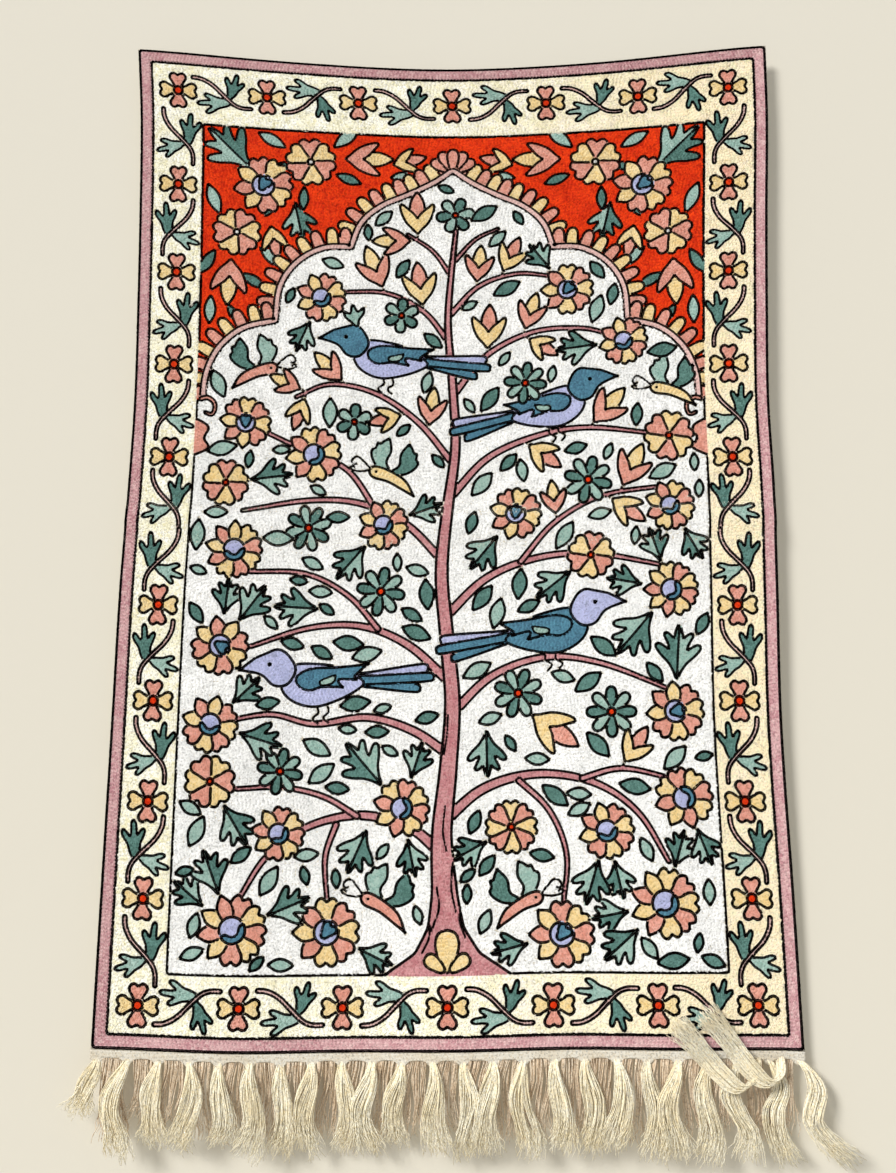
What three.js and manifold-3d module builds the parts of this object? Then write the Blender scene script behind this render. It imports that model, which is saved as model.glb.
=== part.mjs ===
// An embroidered wall hanging: one thick stitched cloth that hangs by its two top corners, and a
// cotton heading tape with loose tassels sewn along its foot.
//
// Millimetres, +Z up, +X to the viewer's right. The stitched face looks along -Y and the back +Y.
// The origin is the middle of the top edge, the lowest point of its sag.
import * as THREE from "three";
import { mergeVertices } from "three/addons/utils/BufferGeometryUtils.js";
import Module from "manifold-3d";

// Driving dimensions of the cloth
const CLOTH_WIDTH = 610;
const CLOTH_DROP = 928;
const CLOTH_THICKNESS = 3;
const ACROSS_STEPS = 28;
const DROP_STEPS = 34;

// The top edge sags between its corners, and the sag dies away going down
const TOP_SAG = 22.4;
const SAG_SHAPE = 1.2;
const SAG_FADE = 350;
// The foot swings up on one side and down on the other
const HEM_SWING = 3.6;

// How far each long side is drawn in, going down from the corners
const SIDE_PULL = [
  { down: 0, left: 0, right: 0 },
  { down: 74, left: 5.4, right: 0.4 },
  { down: 173, left: 8.6, right: 4.7 },
  { down: 269, left: 10.6, right: 8.1 },
  { down: 354, left: 11.6, right: 10.2 },
  { down: 439, left: 9.4, right: 8.1 },
  { down: 530, left: 5.9, right: 8.4 },
  { down: 650, left: 4.2, right: 9.3 },
  { down: 805, left: 1.7, right: 3.8 },
  { down: 928, left: 0, right: 0 },
];

// Soft ripples in depth, which grow from the hung edge to the foot
const RIPPLES = [
  { swing: 4.2, width: 470, drift: 2600, start: 0.7 },
  { swing: 2.0, width: 190, drift: -1500, start: 2.0 },
];
const RIPPLE_AT_TOP = 0.15;

// The mark of the cloth's old fold, a low ridge across its middle
const FOLD_DOWN = 466;
const FOLD_RISE = 1.6;
const FOLD_WIDTH = 11;

// Heading tape and tassels
const PIECE_GAP = 0.3;
const TAPE_THICKNESS = 2.4;
const TAPE_HEIGHT = 7.5;
const TAPE_DIP = 3.5;
const FRONT_TASSELS = 24;
const TAPE_STEPS_A_TASSEL = 4;
const END_INSET = 6;
const ROOT_DEPTH = 4;
const FRONT_ROW = { locks: 3, pitch: 3.3, segments: 4, length: 72, vary: 9, spread: 1.8, lean: 5 };
const BACK_ROW = { locks: 4, pitch: 3.6, segments: 3, length: 64, vary: 7, spread: 1.5, lean: 4 };
const ROW_BULGE = 2.5;
const RAGGED_TIPS = 5;
const LOCK_WIDTH = 3.0;
const LOCK_DEPTH = 2.0;
const ROOT_SHARE = 0.5;
const TIP_SHARE = 0.45;
// How far each layer of locks starts and ends in front of the tape's middle, by even and odd tassels
const FRONT_LAYERS = [
  { root: -0.55, even: 1.6, odd: 6.8 },
  { root: 0.6, even: 4.2, odd: 9.4 },
];
const BACK_LAYERS = [{ root: -0.5, even: -1.8, odd: -4.4 }];

// Tassels that hang unlike their neighbours, counted along the front row from the left
const ODD_TASSELS = [
  { tassel: 0, length: 36, lean: -12, spread: 1.5, bulge: 0 },
  { tassel: 22, length: 78, lean: 12, spread: 1.9, bulge: 3 },
  { tassel: 23, length: 60, lean: 32, spread: 2.7, bulge: 9 },
];

// Locks flipped up over the foot of the cloth: where each leaves the tape, how far it dips, and
// where its end lies above the foot
const FLIPPED_LOCKS = [
  { root: 262, dip: 38, end: 216, up: 30 },
  { root: 257, dip: 32, end: 208, up: 26 },
  { root: 228, dip: 40, end: 192, up: 18 },
  { root: 222, dip: 33, end: 185, up: 13 },
];
const FLIPPED_SEGMENTS = 9;
const FLIPPED_DIP_SHAPE = 3.1;
const FLIPPED_CLEAR = 13;
const FLIPPED_REST = 4.2;

const wasm = await Module();
wasm.setup();

// A smooth value from a table of rows, by a cubic curve through the rows' points
function fromTable(rows, column, down) {
  const last = rows.length - 1;
  if (down <= rows[0].down) return rows[0][column];
  if (down >= rows[last].down) return rows[last][column];
  const i = rows.findIndex((row) => row.down > down) - 1;
  const slope = (k) => {
    const a = rows[Math.max(k - 1, 0)];
    const b = rows[Math.min(k + 1, last)];
    return (b[column] - a[column]) / (b.down - a.down);
  };
  const span = rows[i + 1].down - rows[i].down;
  const u = (down - rows[i].down) / span;
  const keep = (1 + 2 * u) * (1 - u) ** 2;
  return (
    rows[i][column] * keep +
    rows[i + 1][column] * (1 - keep) +
    slope(i) * span * u * (1 - u) ** 2 -
    slope(i + 1) * span * u ** 2 * (1 - u)
  );
}

// How far the cloth stands behind its plane at a place across and down
function rippleAt(across, down) {
  const grow = RIPPLE_AT_TOP + (1 - RIPPLE_AT_TOP) * (down / CLOTH_DROP);
  let depth = 0;
  for (const { swing, width, drift, start } of RIPPLES)
    depth += swing * grow * Math.sin(2 * Math.PI * (across / width + down / drift) + start);
  return depth - FOLD_RISE * Math.exp(-(((down - FOLD_DOWN) / FOLD_WIDTH) ** 2));
}

// The hung cloth's middle surface: a place across and down on the flat cloth, as a point in space
function hang(across, down, forward = 0) {
  const onCloth = Math.min(down, CLOTH_DROP);
  const side = Math.min(Math.max(across / CLOTH_WIDTH + 0.5, 0), 1);
  const pull =
    fromTable(SIDE_PULL, "left", onCloth) * (1 - side) -
    fromTable(SIDE_PULL, "right", onCloth) * side;
  const arc = Math.max(Math.cos((Math.PI * across) / CLOTH_WIDTH), 0) ** SAG_SHAPE;
  const sag = TOP_SAG * arc * Math.exp(-down / SAG_FADE);
  const turn = (2 * Math.PI * across) / CLOTH_WIDTH;
  const swing = HEM_SWING * Math.sin(turn) * (onCloth / CLOTH_DROP) ** 2;
  return new THREE.Vector3(
    across + pull,
    rippleAt(across, onCloth) - rippleAt(0, 0) - forward,
    TOP_SAG - down - sag + swing,
  );
}

// Evenly uneven: a fixed number from 0 to 1 for each tassel and purpose
function chance(tassel, purpose) {
  const wave = Math.sin(tassel * 12.9898 + purpose * 78.233) * 43758.5453;
  return wave - Math.floor(wave);
}

// An indexed geometry from points and faces
function geometryOf(points, faces) {
  const geometry = new THREE.BufferGeometry();
  const numbers = points.flatMap((point) => point.toArray());
  geometry.setAttribute("position", new THREE.Float32BufferAttribute(numbers, 3));
  geometry.setIndex(faces);
  return geometry;
}

// A closed sheet over a grid of columns across and rows down, with its rim
function sheet(columns, rowsAt, thickness) {
  const rowCount = rowsAt(0).length;
  const points = [];
  for (const forward of [thickness / 2, -thickness / 2])
    for (const across of columns)
      for (const down of rowsAt(across)) points.push(hang(across, down, forward));
  const at = (face, column, row) => (face * columns.length + column) * rowCount + row;
  const faces = [];
  const quad = (a, b, c, d) => faces.push(a, b, c, a, c, d);
  for (let i = 0; i + 1 < columns.length; i++) {
    for (let j = 0; j + 1 < rowCount; j++) {
      quad(at(0, i, j), at(0, i, j + 1), at(0, i + 1, j + 1), at(0, i + 1, j));
      quad(at(1, i, j), at(1, i + 1, j), at(1, i + 1, j + 1), at(1, i, j + 1));
    }
    quad(at(0, i, 0), at(0, i + 1, 0), at(1, i + 1, 0), at(1, i, 0));
    const foot = rowCount - 1;
    quad(at(0, i, foot), at(1, i, foot), at(1, i + 1, foot), at(0, i + 1, foot));
  }
  const right = columns.length - 1;
  for (let j = 0; j + 1 < rowCount; j++) {
    quad(at(0, 0, j), at(1, 0, j), at(1, 0, j + 1), at(0, 0, j + 1));
    quad(at(0, right, j), at(0, right, j + 1), at(1, right, j + 1), at(1, right, j));
  }
  return geometryOf(points, faces);
}

// Evenly spaced values from one end to the other
function spread(from, to, steps) {
  return Array.from({ length: steps + 1 }, (_, i) => from + ((to - from) * i) / steps);
}

// The cloth, with close rows over the fold mark
function clothGeometry() {
  const nearFold = 2 * FOLD_WIDTH;
  const half = DROP_STEPS / 2;
  const rows = [
    ...spread(0, FOLD_DOWN - nearFold, half),
    FOLD_DOWN - FOLD_WIDTH,
    FOLD_DOWN,
    FOLD_DOWN + FOLD_WIDTH,
    ...spread(FOLD_DOWN + nearFold, CLOTH_DROP, half),
  ];
  return sheet(spread(-CLOTH_WIDTH / 2, CLOTH_WIDTH / 2, ACROSS_STEPS), () => rows, CLOTH_THICKNESS);
}

// Where the tassels of the front row grow
const tasselPitch = (CLOTH_WIDTH - 2 * END_INSET) / (FRONT_TASSELS - 1);
const tasselPlace = (tassel) => -CLOTH_WIDTH / 2 + END_INSET + tassel * tasselPitch;

// The heading tape, whose lower edge dips at each tassel and arches between them
function tapeGeometry() {
  const columns = spread(-CLOTH_WIDTH / 2, CLOTH_WIDTH / 2, FRONT_TASSELS * TAPE_STEPS_A_TASSEL);
  const top = CLOTH_DROP + PIECE_GAP;
  const rowsAt = (across) => {
    const dip = Math.cos((Math.PI * (across - tasselPlace(0))) / tasselPitch) ** 2;
    return [top, top + TAPE_HEIGHT + TAPE_DIP * dip];
  };
  return sheet(columns, rowsAt, TAPE_THICKNESS);
}

// One lock of yarn along a path, three-sided and closed, thinner at its tip
function lockGeometry(path) {
  const points = [];
  const faces = [];
  path.forEach((point, i) => {
    const before = path[Math.max(i - 1, 0)];
    const after = path[Math.min(i + 1, path.length - 1)];
    const along = after.clone().sub(before).setY(0).normalize();
    const side = new THREE.Vector3(-along.z, 0, along.x);
    const share = i === 0 ? ROOT_SHARE : i === path.length - 1 ? TIP_SHARE : 1;
    const half = (LOCK_WIDTH / 2) * share;
    const deep = (LOCK_DEPTH / 2) * share;
    for (const [sideways, back] of [[-half, deep], [half, deep], [0, -deep]])
      points.push(point.clone().addScaledVector(side, sideways).add(new THREE.Vector3(0, back, 0)));
  });
  for (let i = 0; i + 1 < path.length; i++)
    for (let k = 0; k < 3; k++) {
      const a = 3 * i + k;
      const b = 3 * i + ((k + 1) % 3);
      faces.push(a, b, b + 3, a, b + 3, a + 3);
    }
  const end = 3 * (path.length - 1);
  faces.push(0, 2, 1, end, end + 1, end + 2);
  return geometryOf(points, faces);
}

// One hanging lock: it leaves the tape beside its fellows, spreads, leans and comes forward
function hangingLock({ place, offset, root, forward, length, spread: fan, lean, bulge, segments }) {
  const tapeFoot = CLOTH_DROP + PIECE_GAP + TAPE_HEIGHT;
  return spread(0, 1, segments).map((u) => {
    const across = place + offset * (1 + (fan - 1) * u) + lean * u ** 1.6 + bulge * Math.sin(Math.PI * u);
    const down = tapeFoot - ROOT_DEPTH + (length + ROOT_DEPTH) * u;
    return hang(across, down, root + (forward - root) * (1 - (1 - u) ** 2));
  });
}

// All locks of one row of tassels
function rowOfLocks(row, count, placeOf, layers, seed, oddOnes) {
  const locks = [];
  for (let tassel = 0; tassel < count; tassel++) {
    const usual = {
      length: row.length + row.vary * (2 * chance(tassel, seed) - 1),
      lean: row.lean * (2 * chance(tassel, seed + 1) - 1),
      spread: row.spread,
      bulge: ROW_BULGE * (2 * chance(tassel, seed + 2) - 1),
    };
    const own = { ...usual, ...oddOnes.find((odd) => odd.tassel === tassel) };
    layers.forEach((layer, depth) => {
      for (let k = 0; k < row.locks; k++) {
        const middle = (row.locks - 1) / 2 + (layers.length - 1) / 4;
        const offset = (k + depth / 2 - middle) * row.pitch;
        locks.push(
          hangingLock({
            ...own,
            place: placeOf(tassel),
            offset,
            root: layer.root,
            forward: tassel % 2 ? layer.odd : layer.even,
            length: own.length - RAGGED_TIPS * chance(10 * tassel + k, seed + 3 + depth),
            segments: row.segments,
          }),
        );
      }
    });
  }
  return locks;
}

// A lock that dips below the tape, swings back and lies up over the foot of the cloth
function flippedLock({ root, dip, end, up }) {
  const tapeFoot = CLOTH_DROP + PIECE_GAP + TAPE_HEIGHT;
  const rise = tapeFoot - (CLOTH_DROP - up);
  return spread(0, 1, FLIPPED_SEGMENTS).map((u) => {
    const across = root + (end - root) * u ** 1.5;
    const sink = FLIPPED_DIP_SHAPE * dip * u * (1 - u) ** 0.8;
    const down = tapeFoot - ROOT_DEPTH * (1 - u) + sink - rise * u ** 2;
    const clear = FLIPPED_CLEAR * Math.sin(Math.PI * u) ** 0.7;
    return hang(across, down, Math.max(clear, FLIPPED_REST * u));
  });
}

// A closed geometry as a solid that can be joined
function solidOf(geometry) {
  const bare = geometry.clone();
  bare.deleteAttribute("normal");
  bare.deleteAttribute("uv");
  const merged = mergeVertices(bare, 1e-4);
  return new wasm.Manifold(
    new wasm.Mesh({
      numProp: 3,
      vertProperties: new Float32Array(merged.attributes.position.array),
      triVerts: new Uint32Array(merged.index.array),
    }),
  );
}

// The heading tape joined with every lock that grows from it
function fringeGeometry() {
  const backPlace = (tassel) => tasselPlace(tassel) + tasselPitch / 2;
  const locks = [
    ...rowOfLocks(FRONT_ROW, FRONT_TASSELS, tasselPlace, FRONT_LAYERS, 1, ODD_TASSELS),
    ...rowOfLocks(BACK_ROW, FRONT_TASSELS - 1, backPlace, BACK_LAYERS, 11, []),
    ...FLIPPED_LOCKS.map(flippedLock),
  ];
  const joined = locks.reduce(
    (solid, path) => solid.add(solidOf(lockGeometry(path))),
    solidOf(tapeGeometry()),
  );
  const mesh = joined.getMesh();
  const geometry = new THREE.BufferGeometry();
  const corners = new Float32Array(mesh.vertProperties);
  geometry.setAttribute("position", new THREE.BufferAttribute(corners, 3));
  geometry.setIndex(new THREE.BufferAttribute(new Uint32Array(mesh.triVerts), 1));
  return geometry;
}

const stitchedCloth = new THREE.MeshStandardMaterial({ color: 0xdcd6cc, roughness: 0.92, metalness: 0 });
const cottonYarn = new THREE.MeshStandardMaterial({ color: 0xe9dfc4, roughness: 0.88, metalness: 0 });

const panel = new THREE.Mesh(clothGeometry(), stitchedCloth);
panel.name = "panel";

const fringe = new THREE.Mesh(fringeGeometry(), cottonYarn);
fringe.name = "fringe";

const wallHanging = new THREE.Group();
wallHanging.add(panel, fringe);

export default wallHanging;
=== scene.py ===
# %% [markdown]
# # Embroidered wall hanging
# A cotton cloth sewn all over in wool chain stitch: a flowering tree under a pointed arch, red corners,
# an ivory border of flowers and leaves, a mauve edge, and a cotton fringe along the foot.
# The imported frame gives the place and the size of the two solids, and this script gives them their look.
# Blender works in metres, with +Z up and the cloth's face towards -Y.
# The steps are: draw the design flat, sew it, hang it, knot the fringe, then light it and look at it.

import bpy
import numpy as np
from mathutils import Matrix


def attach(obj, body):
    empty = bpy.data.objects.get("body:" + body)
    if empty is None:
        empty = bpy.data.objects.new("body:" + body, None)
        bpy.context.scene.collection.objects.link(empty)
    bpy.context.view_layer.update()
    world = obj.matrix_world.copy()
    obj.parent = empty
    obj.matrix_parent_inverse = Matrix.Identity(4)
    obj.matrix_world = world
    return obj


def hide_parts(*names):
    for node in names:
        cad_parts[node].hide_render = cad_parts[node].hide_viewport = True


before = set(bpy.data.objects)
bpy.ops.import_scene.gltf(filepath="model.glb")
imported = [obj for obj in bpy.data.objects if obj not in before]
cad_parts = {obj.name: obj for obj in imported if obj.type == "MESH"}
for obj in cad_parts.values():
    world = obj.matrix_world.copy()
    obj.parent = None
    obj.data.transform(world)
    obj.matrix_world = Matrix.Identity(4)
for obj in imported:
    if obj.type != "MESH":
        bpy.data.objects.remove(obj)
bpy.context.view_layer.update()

# %% [markdown]
# ## The cloth and its threads
# The real cloth is plain cotton, and no part of its face is left bare: outlines in black wool, then each
# shape filled with rows of its own colour, then the grounds between them.
# A picture laid on a plane would give the colours, but not the raised rows.
# So the design is drawn flat here, in millimetres across and down the cloth, and every stitch becomes a
# small form of its own. Colours are linear red, green and blue, as Blender's sockets take them.

# %% Sizes and thread colours
CLOTH_WIDTH = 610.0
CLOTH_DROP = 928.0
INK_WIDTH = 2.5
THREADS = {
    "black": (0.0020, 0.0012, 0.0012),
    "white": (0.985, 0.985, 0.98),
    "ivory": (0.99, 0.985, 0.94),
    "red": (0.86, 0.064, 0.006),
    "mauve": (0.54, 0.28, 0.31),
    "pink": (0.81, 0.44, 0.365),
    "yellow": (0.86, 0.72, 0.445),
    "fir": (0.082, 0.182, 0.158),
    "sage": (0.30, 0.47, 0.42),
    "blue": (0.074, 0.182, 0.268),
    "lilac": (0.58, 0.60, 0.84),
    "bark": (0.66, 0.36, 0.37),
    "blush": (0.80, 0.58, 0.55),
}
COLOURS = list(THREADS)
print("a cloth of", CLOTH_WIDTH, "by", CLOTH_DROP, "mm in", len(COLOURS), "colours of thread")

# %% [markdown]
# ## Curves
# A drawn outline on cloth is never a straight-sided polygon, but a long list of points is hard to read.
# A few points and a smooth curve through them give both: a cubic between each two points goes through
# every one of them, and a point given twice makes a corner. Handles would need three times the numbers.

# %% A smooth curve through a few points
def smooth(points, closed=True, per=8):
    """A cubic between each two points, with slopes taken from the points on either side of them."""
    p = np.asarray(points, float)
    if closed:
        a, b, c, d = (np.roll(p, k, 0) for k in (1, 0, -1, -2))
    else:
        q = np.vstack([2 * p[0] - p[1], p, 2 * p[-1] - p[-2]])
        a, b, c, d = q[:-3], q[1:-2], q[2:-1], q[3:]
    t = (np.arange(per) / per)[None, :, None]
    a, b, c, d = (x[:, None, :] for x in (a, b, c, d))
    out = 0.5 * (2 * b + (c - a) * t + (2 * a - 5 * b + 4 * c - d) * t**2 + (3 * b - a - 3 * c + d) * t**3)
    out = out.reshape(-1, 2)
    return out if closed else np.vstack([out, p[-1]])


print("four corners become a curve of", len(smooth([(0, 0), (1, 0), (1, 1), (0, 1)])), "points")

# %% Lengths and sides of a curve
FEWEST_STEPS, TINY = 4, 1e-9


def length_gone(line):
    """The length gone at each point of a line: a running sum of its steps."""
    return np.r_[0, np.cumsum(np.linalg.norm(np.diff(line, axis=0), axis=1))]


def points_at(at, gone, line):
    """The places at given lengths along a line, looked up between its points."""
    return np.stack([np.interp(at, gone, line[:, k]) for k in (0, 1)], 1)


def evenly(line, step, closed=True):
    """The same curve with its points an equal way apart: each is looked up by the length gone so far."""
    p = np.vstack([line, line[:1]]) if closed else line
    gone = length_gone(p)
    keep = np.r_[True, np.diff(gone) > TINY]
    count = max(int(round(gone[-1] / step)), FEWEST_STEPS)
    at = np.linspace(0, gone[-1], count if closed else count + 1, endpoint=not closed)
    return points_at(at, gone[keep], p[keep])


def square_to(along):
    """Directions turned by a quarter: their two parts change places, and one changes its sign."""
    return np.stack([-along[:, 1], along[:, 0]], 1)


# %% Turning and placing
def mirrored(half):
    """A closed outline from the points (along, aside) of one side, repeated with aside turned over."""
    h = np.asarray(half, float)
    return np.vstack([h, h[::-1] * (1, -1)])


def place(local, at, heading, size=1.0, flip=1):
    """Points (along, aside) set down at a spot; heading 0 points up the cloth and 90 to the right."""
    h = np.radians(heading)
    along, aside = np.array([np.sin(h), -np.cos(h)]), np.array([np.cos(h), np.sin(h)])
    p = np.asarray(local, float) * size
    return np.asarray(at, float) + p[:, :1] * along + p[:, 1:] * aside * flip


print("one step along, headed right, lands at", place([(1, 0)], (0, 0), 90).round(3)[0])

# %% [markdown]
# ## The chart
# An embroiderer marks the design on the cloth before sewing. The chart is that marking: a grid of small
# cells, one array for the shape that owns each cell, and one for the outline that crosses it.
# It could be done with polygon clipping, but a shape that is painted over another simply takes its
# cells, which is how the stitches know where to stop. The cells are worked out here and never saved.

# %% An empty chart
CELL = 0.6
across = np.arange(-CLOTH_WIDTH / 2 + CELL / 2, CLOTH_WIDTH / 2, CELL)
down = np.arange(CELL / 2, CLOTH_DROP, CELL)
NX, NY = len(across), len(down)
region = np.zeros((NY, NX), np.int32)
ink = np.zeros((NY, NX), np.int32)
shapes = [None]
window = [-CLOTH_WIDTH / 2, 0.0, CLOTH_WIDTH / 2, CLOTH_DROP]


def cells(points):
    """The row and the column of the cell that each point lies in."""
    ix = np.clip(((points[:, 0] + CLOTH_WIDTH / 2) / CELL).astype(int), 0, NX - 1)
    iy = np.clip((points[:, 1] / CELL).astype(int), 0, NY - 1)
    return iy, ix


print("a chart of", NX, "by", NY, "cells")

# %% Filling a shape
def fill(outline, number):
    """Gives a shape the cells inside its outline: a cell is inside past an odd count of crossings."""
    a, b = outline, np.roll(outline, -1, 0)
    corners = [np.stack(cells(np.array(corner)[None]), 1)[0] for corner in (window[:2], window[2:])]
    (top, left), (foot, right) = corners
    y0, y1 = max(int(a[:, 1].min() / CELL), top), min(int(a[:, 1].max() / CELL) + 1, foot)
    rows = down[y0:y1 + 1, None]
    crosses = (a[None, :, 1] > rows) != (b[None, :, 1] > rows)
    with np.errstate(divide="ignore", invalid="ignore"):
        x = a[:, 0] + (rows - a[:, 1]) / (b[:, 1] - a[:, 1]) * (b[:, 0] - a[:, 0])
    x = np.where(crosses, x, np.inf)
    x0 = max(int((a[:, 0].min() + CLOTH_WIDTH / 2) / CELL), left)
    x1 = min(int((a[:, 0].max() + CLOTH_WIDTH / 2) / CELL) + 1, right)
    change = np.zeros((y1 - y0 + 1, x1 - x0 + 2), np.int32)
    r, s = np.nonzero(np.isfinite(x))
    column = np.ceil((x[r, s] + CLOTH_WIDTH / 2 - CELL / 2) / CELL).astype(int) - x0
    np.add.at(change, (r, np.clip(column, 0, x1 - x0 + 1)), 1)
    inside = (np.cumsum(change, 1)[:, :-1] % 2).astype(bool)
    region[y0:y1 + 1, x0:x1 + 1][inside] = number
    ink[y0:y1 + 1, x0:x1 + 1][inside] = 0


def draw_ink(line, number, width):
    """Gives an outline the cells that lie within half its width of the line."""
    reach = int(np.ceil(width / 2 / CELL))
    oy, ox = np.mgrid[-reach:reach + 1, -reach:reach + 1]
    near = np.hypot(oy, ox) * CELL <= width / 2
    inside = (line >= window[:2]).all(1) & (line <= window[2:]).all(1)
    iy, ix = cells(line[inside])
    yy = np.clip(iy[:, None] + oy[near][None], 0, NY - 1)
    xx = np.clip(ix[:, None] + ox[near][None], 0, NX - 1)
    ink[yy, xx] = number


# %% Painting shapes and lines
LINE_STEP = 0.5
THIN_INK, THINNER_INK = INK_WIDTH * 0.85, INK_WIDTH * 0.7


def paint(outline, colour, width=INK_WIDTH, ground=False):
    """Lays one closed shape over what is there, with its black outline, and returns its number."""
    line = evenly(outline, LINE_STEP)
    number = len(shapes)
    shapes.append({"line": line, "colour": colour, "closed": True, "width": width, "ground": ground})
    fill(line, number)
    if width:
        draw_ink(line, number, width)
    return number


def ink_line(points, width=INK_WIDTH * 0.8):
    """Lays one black line of stitches with no fill."""
    line = evenly(np.asarray(points, float), LINE_STEP, closed=False)
    shapes.append({"line": line, "colour": "black", "closed": False, "width": width, "ground": False})
    draw_ink(line, len(shapes) - 1, width)


# %% [markdown]
# ## Motifs
# The needlework repeats a small family of forms: heart-shaped and pointed petals, narrow leaves, leaves
# with fingers, and buds in a cup. Each is one outline on a unit length, from its root towards its tip,
# with only one side given where both are alike. A traced outline would fit one place only, while these
# can be set down anywhere, at any size and turn.

# %% Unit outlines of petals, leaves and buds
HEART = mirrored([(0.84, 0.0), (0.84, 0.0), (1.0, 0.19), (0.95, 0.36), (0.70, 0.47), (0.38, 0.30), (0, 0.10)])
POINTED = mirrored([(1.0, 0.0), (1.0, 0.0), (0.68, 0.36), (0.36, 0.36), (0.0, 0.12)])
ROUNDED = mirrored([(1.0, 0.0), (0.94, 0.26), (0.68, 0.38), (0.36, 0.30), (0.0, 0.13)])
LENS = mirrored([(1.0, 0.0), (1.0, 0.0), (0.66, 0.17), (0.34, 0.17), (0.0, 0.02)])
PETAL_EDGE = mirrored([(1.0, 0.0), (0.93, 0.19), (0.70, 0.27), (0.36, 0.29), (0.0, 0.26)])
CALYX = mirrored([(0.46, 0.0), (0.46, 0.0), (0.62, 0.11), (0.84, 0.36), (0.92, 0.44), (0.84, 0.49),
                  (0.58, 0.43), (0.32, 0.30), (0.12, 0.11), (0.0, 0.02)])
BUD_PETAL = mirrored([(1.30, 0.0), (1.30, 0.0), (1.08, 0.14), (0.82, 0.21), (0.56, 0.15), (0.34, 0.0)])
FINGER_LEAF = np.array([
    (0.0, 0.0), (0.16, 0.08), (0.33, 0.19), (0.49, 0.36), (0.66, 0.48), (0.72, 0.42), (0.66, 0.29),
    (0.59, 0.18), (0.73, 0.22), (0.90, 0.31), (0.95, 0.26), (0.87, 0.14), (0.82, 0.09), (0.97, 0.07),
    (1.10, 0.0), (0.5, 0.0)])
TRIPLE_LEAF = np.array([
    (0.0, 0.05), (0.30, 0.20), (0.52, 0.50), (0.82, 0.60), (0.82, 0.60), (0.66, 0.26), (0.72, 0.20),
    (1.06, 0.16), (1.06, 0.06), (0.72, -0.08), (0.68, -0.16), (0.92, -0.40), (0.92, -0.40), (0.58, -0.40),
    (0.30, -0.20), (0.0, -0.05)])
PETAL_COLOURS, GREENS = ("pink", "yellow"), ("fir", "sage")
print("a heart petal has", len(HEART), "points and a finger leaf", len(FINGER_LEAF), "a side")

# %% Setting one form down
def motif(form, at, heading, size, colour, flip=1, width=INK_WIDTH):
    """A unit outline, placed, smoothed and painted."""
    paint(smooth(place(form, at, heading, size, flip)), colour, width)


def disc(at, radius, colour, width=INK_WIDTH):
    """A round spot: its outline is a cosine and a sine of the same turn."""
    turn = np.linspace(0, 2 * np.pi, 24, endpoint=False)
    paint(np.asarray(at) + radius * np.stack([np.cos(turn), np.sin(turn)], 1), colour, width)


def ribbon(points, start, end, colour="bark", width=THIN_INK):
    """A band along a curve: half its width to either side, which runs evenly from one width to another."""
    line = evenly(smooth(points, closed=False), 2.0, closed=False)
    along = np.gradient(line, axis=0)
    side = square_to(along) / np.linalg.norm(along, axis=1, keepdims=True)
    half = np.linspace(start, end, len(line))[:, None] / 2
    paint(np.vstack([line + side * half, (line - side * half)[::-1]]), colour, width)


# %% Leaves and buds
def leaf(at, heading, size, colour, belly=1.0):
    """A narrow leaf; the belly widens it."""
    motif(LENS * (1, belly), at, heading, size, colour)


def spray_leaf(at, heading, size, near="sage", far="fir"):
    """A large leaf in two halves, each with its own green and a row of fingers."""
    motif(FINGER_LEAF, at, heading, size, near, 1)
    motif(FINGER_LEAF, at, heading, size, far, -1)


def bud(at, heading, size, cup="pink", petal="yellow"):
    """A pointed petal that stands out of a cup of two lobes."""
    motif(BUD_PETAL, at, heading, size, petal)
    motif(CALYX, at, heading, size, cup)


# %% Flowers
EYE_SHARE, PLAIN_EYE_SHARE, EYE_TURN = 0.36, 0.22, 40
POINTED_REACH, HEART_REACH, POINTED_FILL, HEART_FILL = 1.0, 0.96, 0.78, 0.90
UNDER_EYE = 0.45
MOON = np.array([
    (1.0, 0.0), (0.72, 0.72), (0.0, 1.0), (-0.72, 0.72), (-1.0, 0.0), (-0.55, 0.12), (-0.30, 0.42),
    (0.0, 0.52), (0.30, 0.42), (0.55, 0.12)])


def flower_eye(at, radius, heading, kind):
    """The middle of a flower: a blue moon or a blue heart on a lilac disc, or a small plain disc."""
    if kind == "eye":
        disc(at, radius, "lilac")
        motif(MOON, at, heading, radius * 1.02, "blue")
    elif kind == "core":
        disc(at, radius, "lilac")
        root = np.asarray(at) + place([(-0.55 * radius, 0)], (0, 0), heading)[0]
        motif(HEART, root, heading, radius * 1.35, "blue")
    else:
        disc(at, radius * 0.62, kind)


def flower(at, heading, radius, petals=8, kind="eye", first="pink", second="yellow", split=True):
    """Petals in two colours by turns, an equal turn apart; a split flower has pointed ones on one side."""
    at = np.asarray(at, float)
    eye = (EYE_SHARE if kind in ("eye", "core") else PLAIN_EYE_SHARE) * radius
    for k in range(petals):
        turn = heading + 360 * k / petals
        pointed = split and k in range(petals // 2 + 1, petals)
        reach = radius * (POINTED_REACH if pointed else HEART_REACH) - UNDER_EYE * eye
        width = 2 * np.pi * radius / petals / reach * (POINTED_FILL if pointed else HEART_FILL)
        root = at + place([(UNDER_EYE * eye, 0)], (0, 0), turn)[0]
        motif((POINTED if pointed else HEART) * (1, width), root, turn, reach, (first, second)[k % 2])
    flower_eye(at, eye, heading + EYE_TURN, kind)


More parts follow.
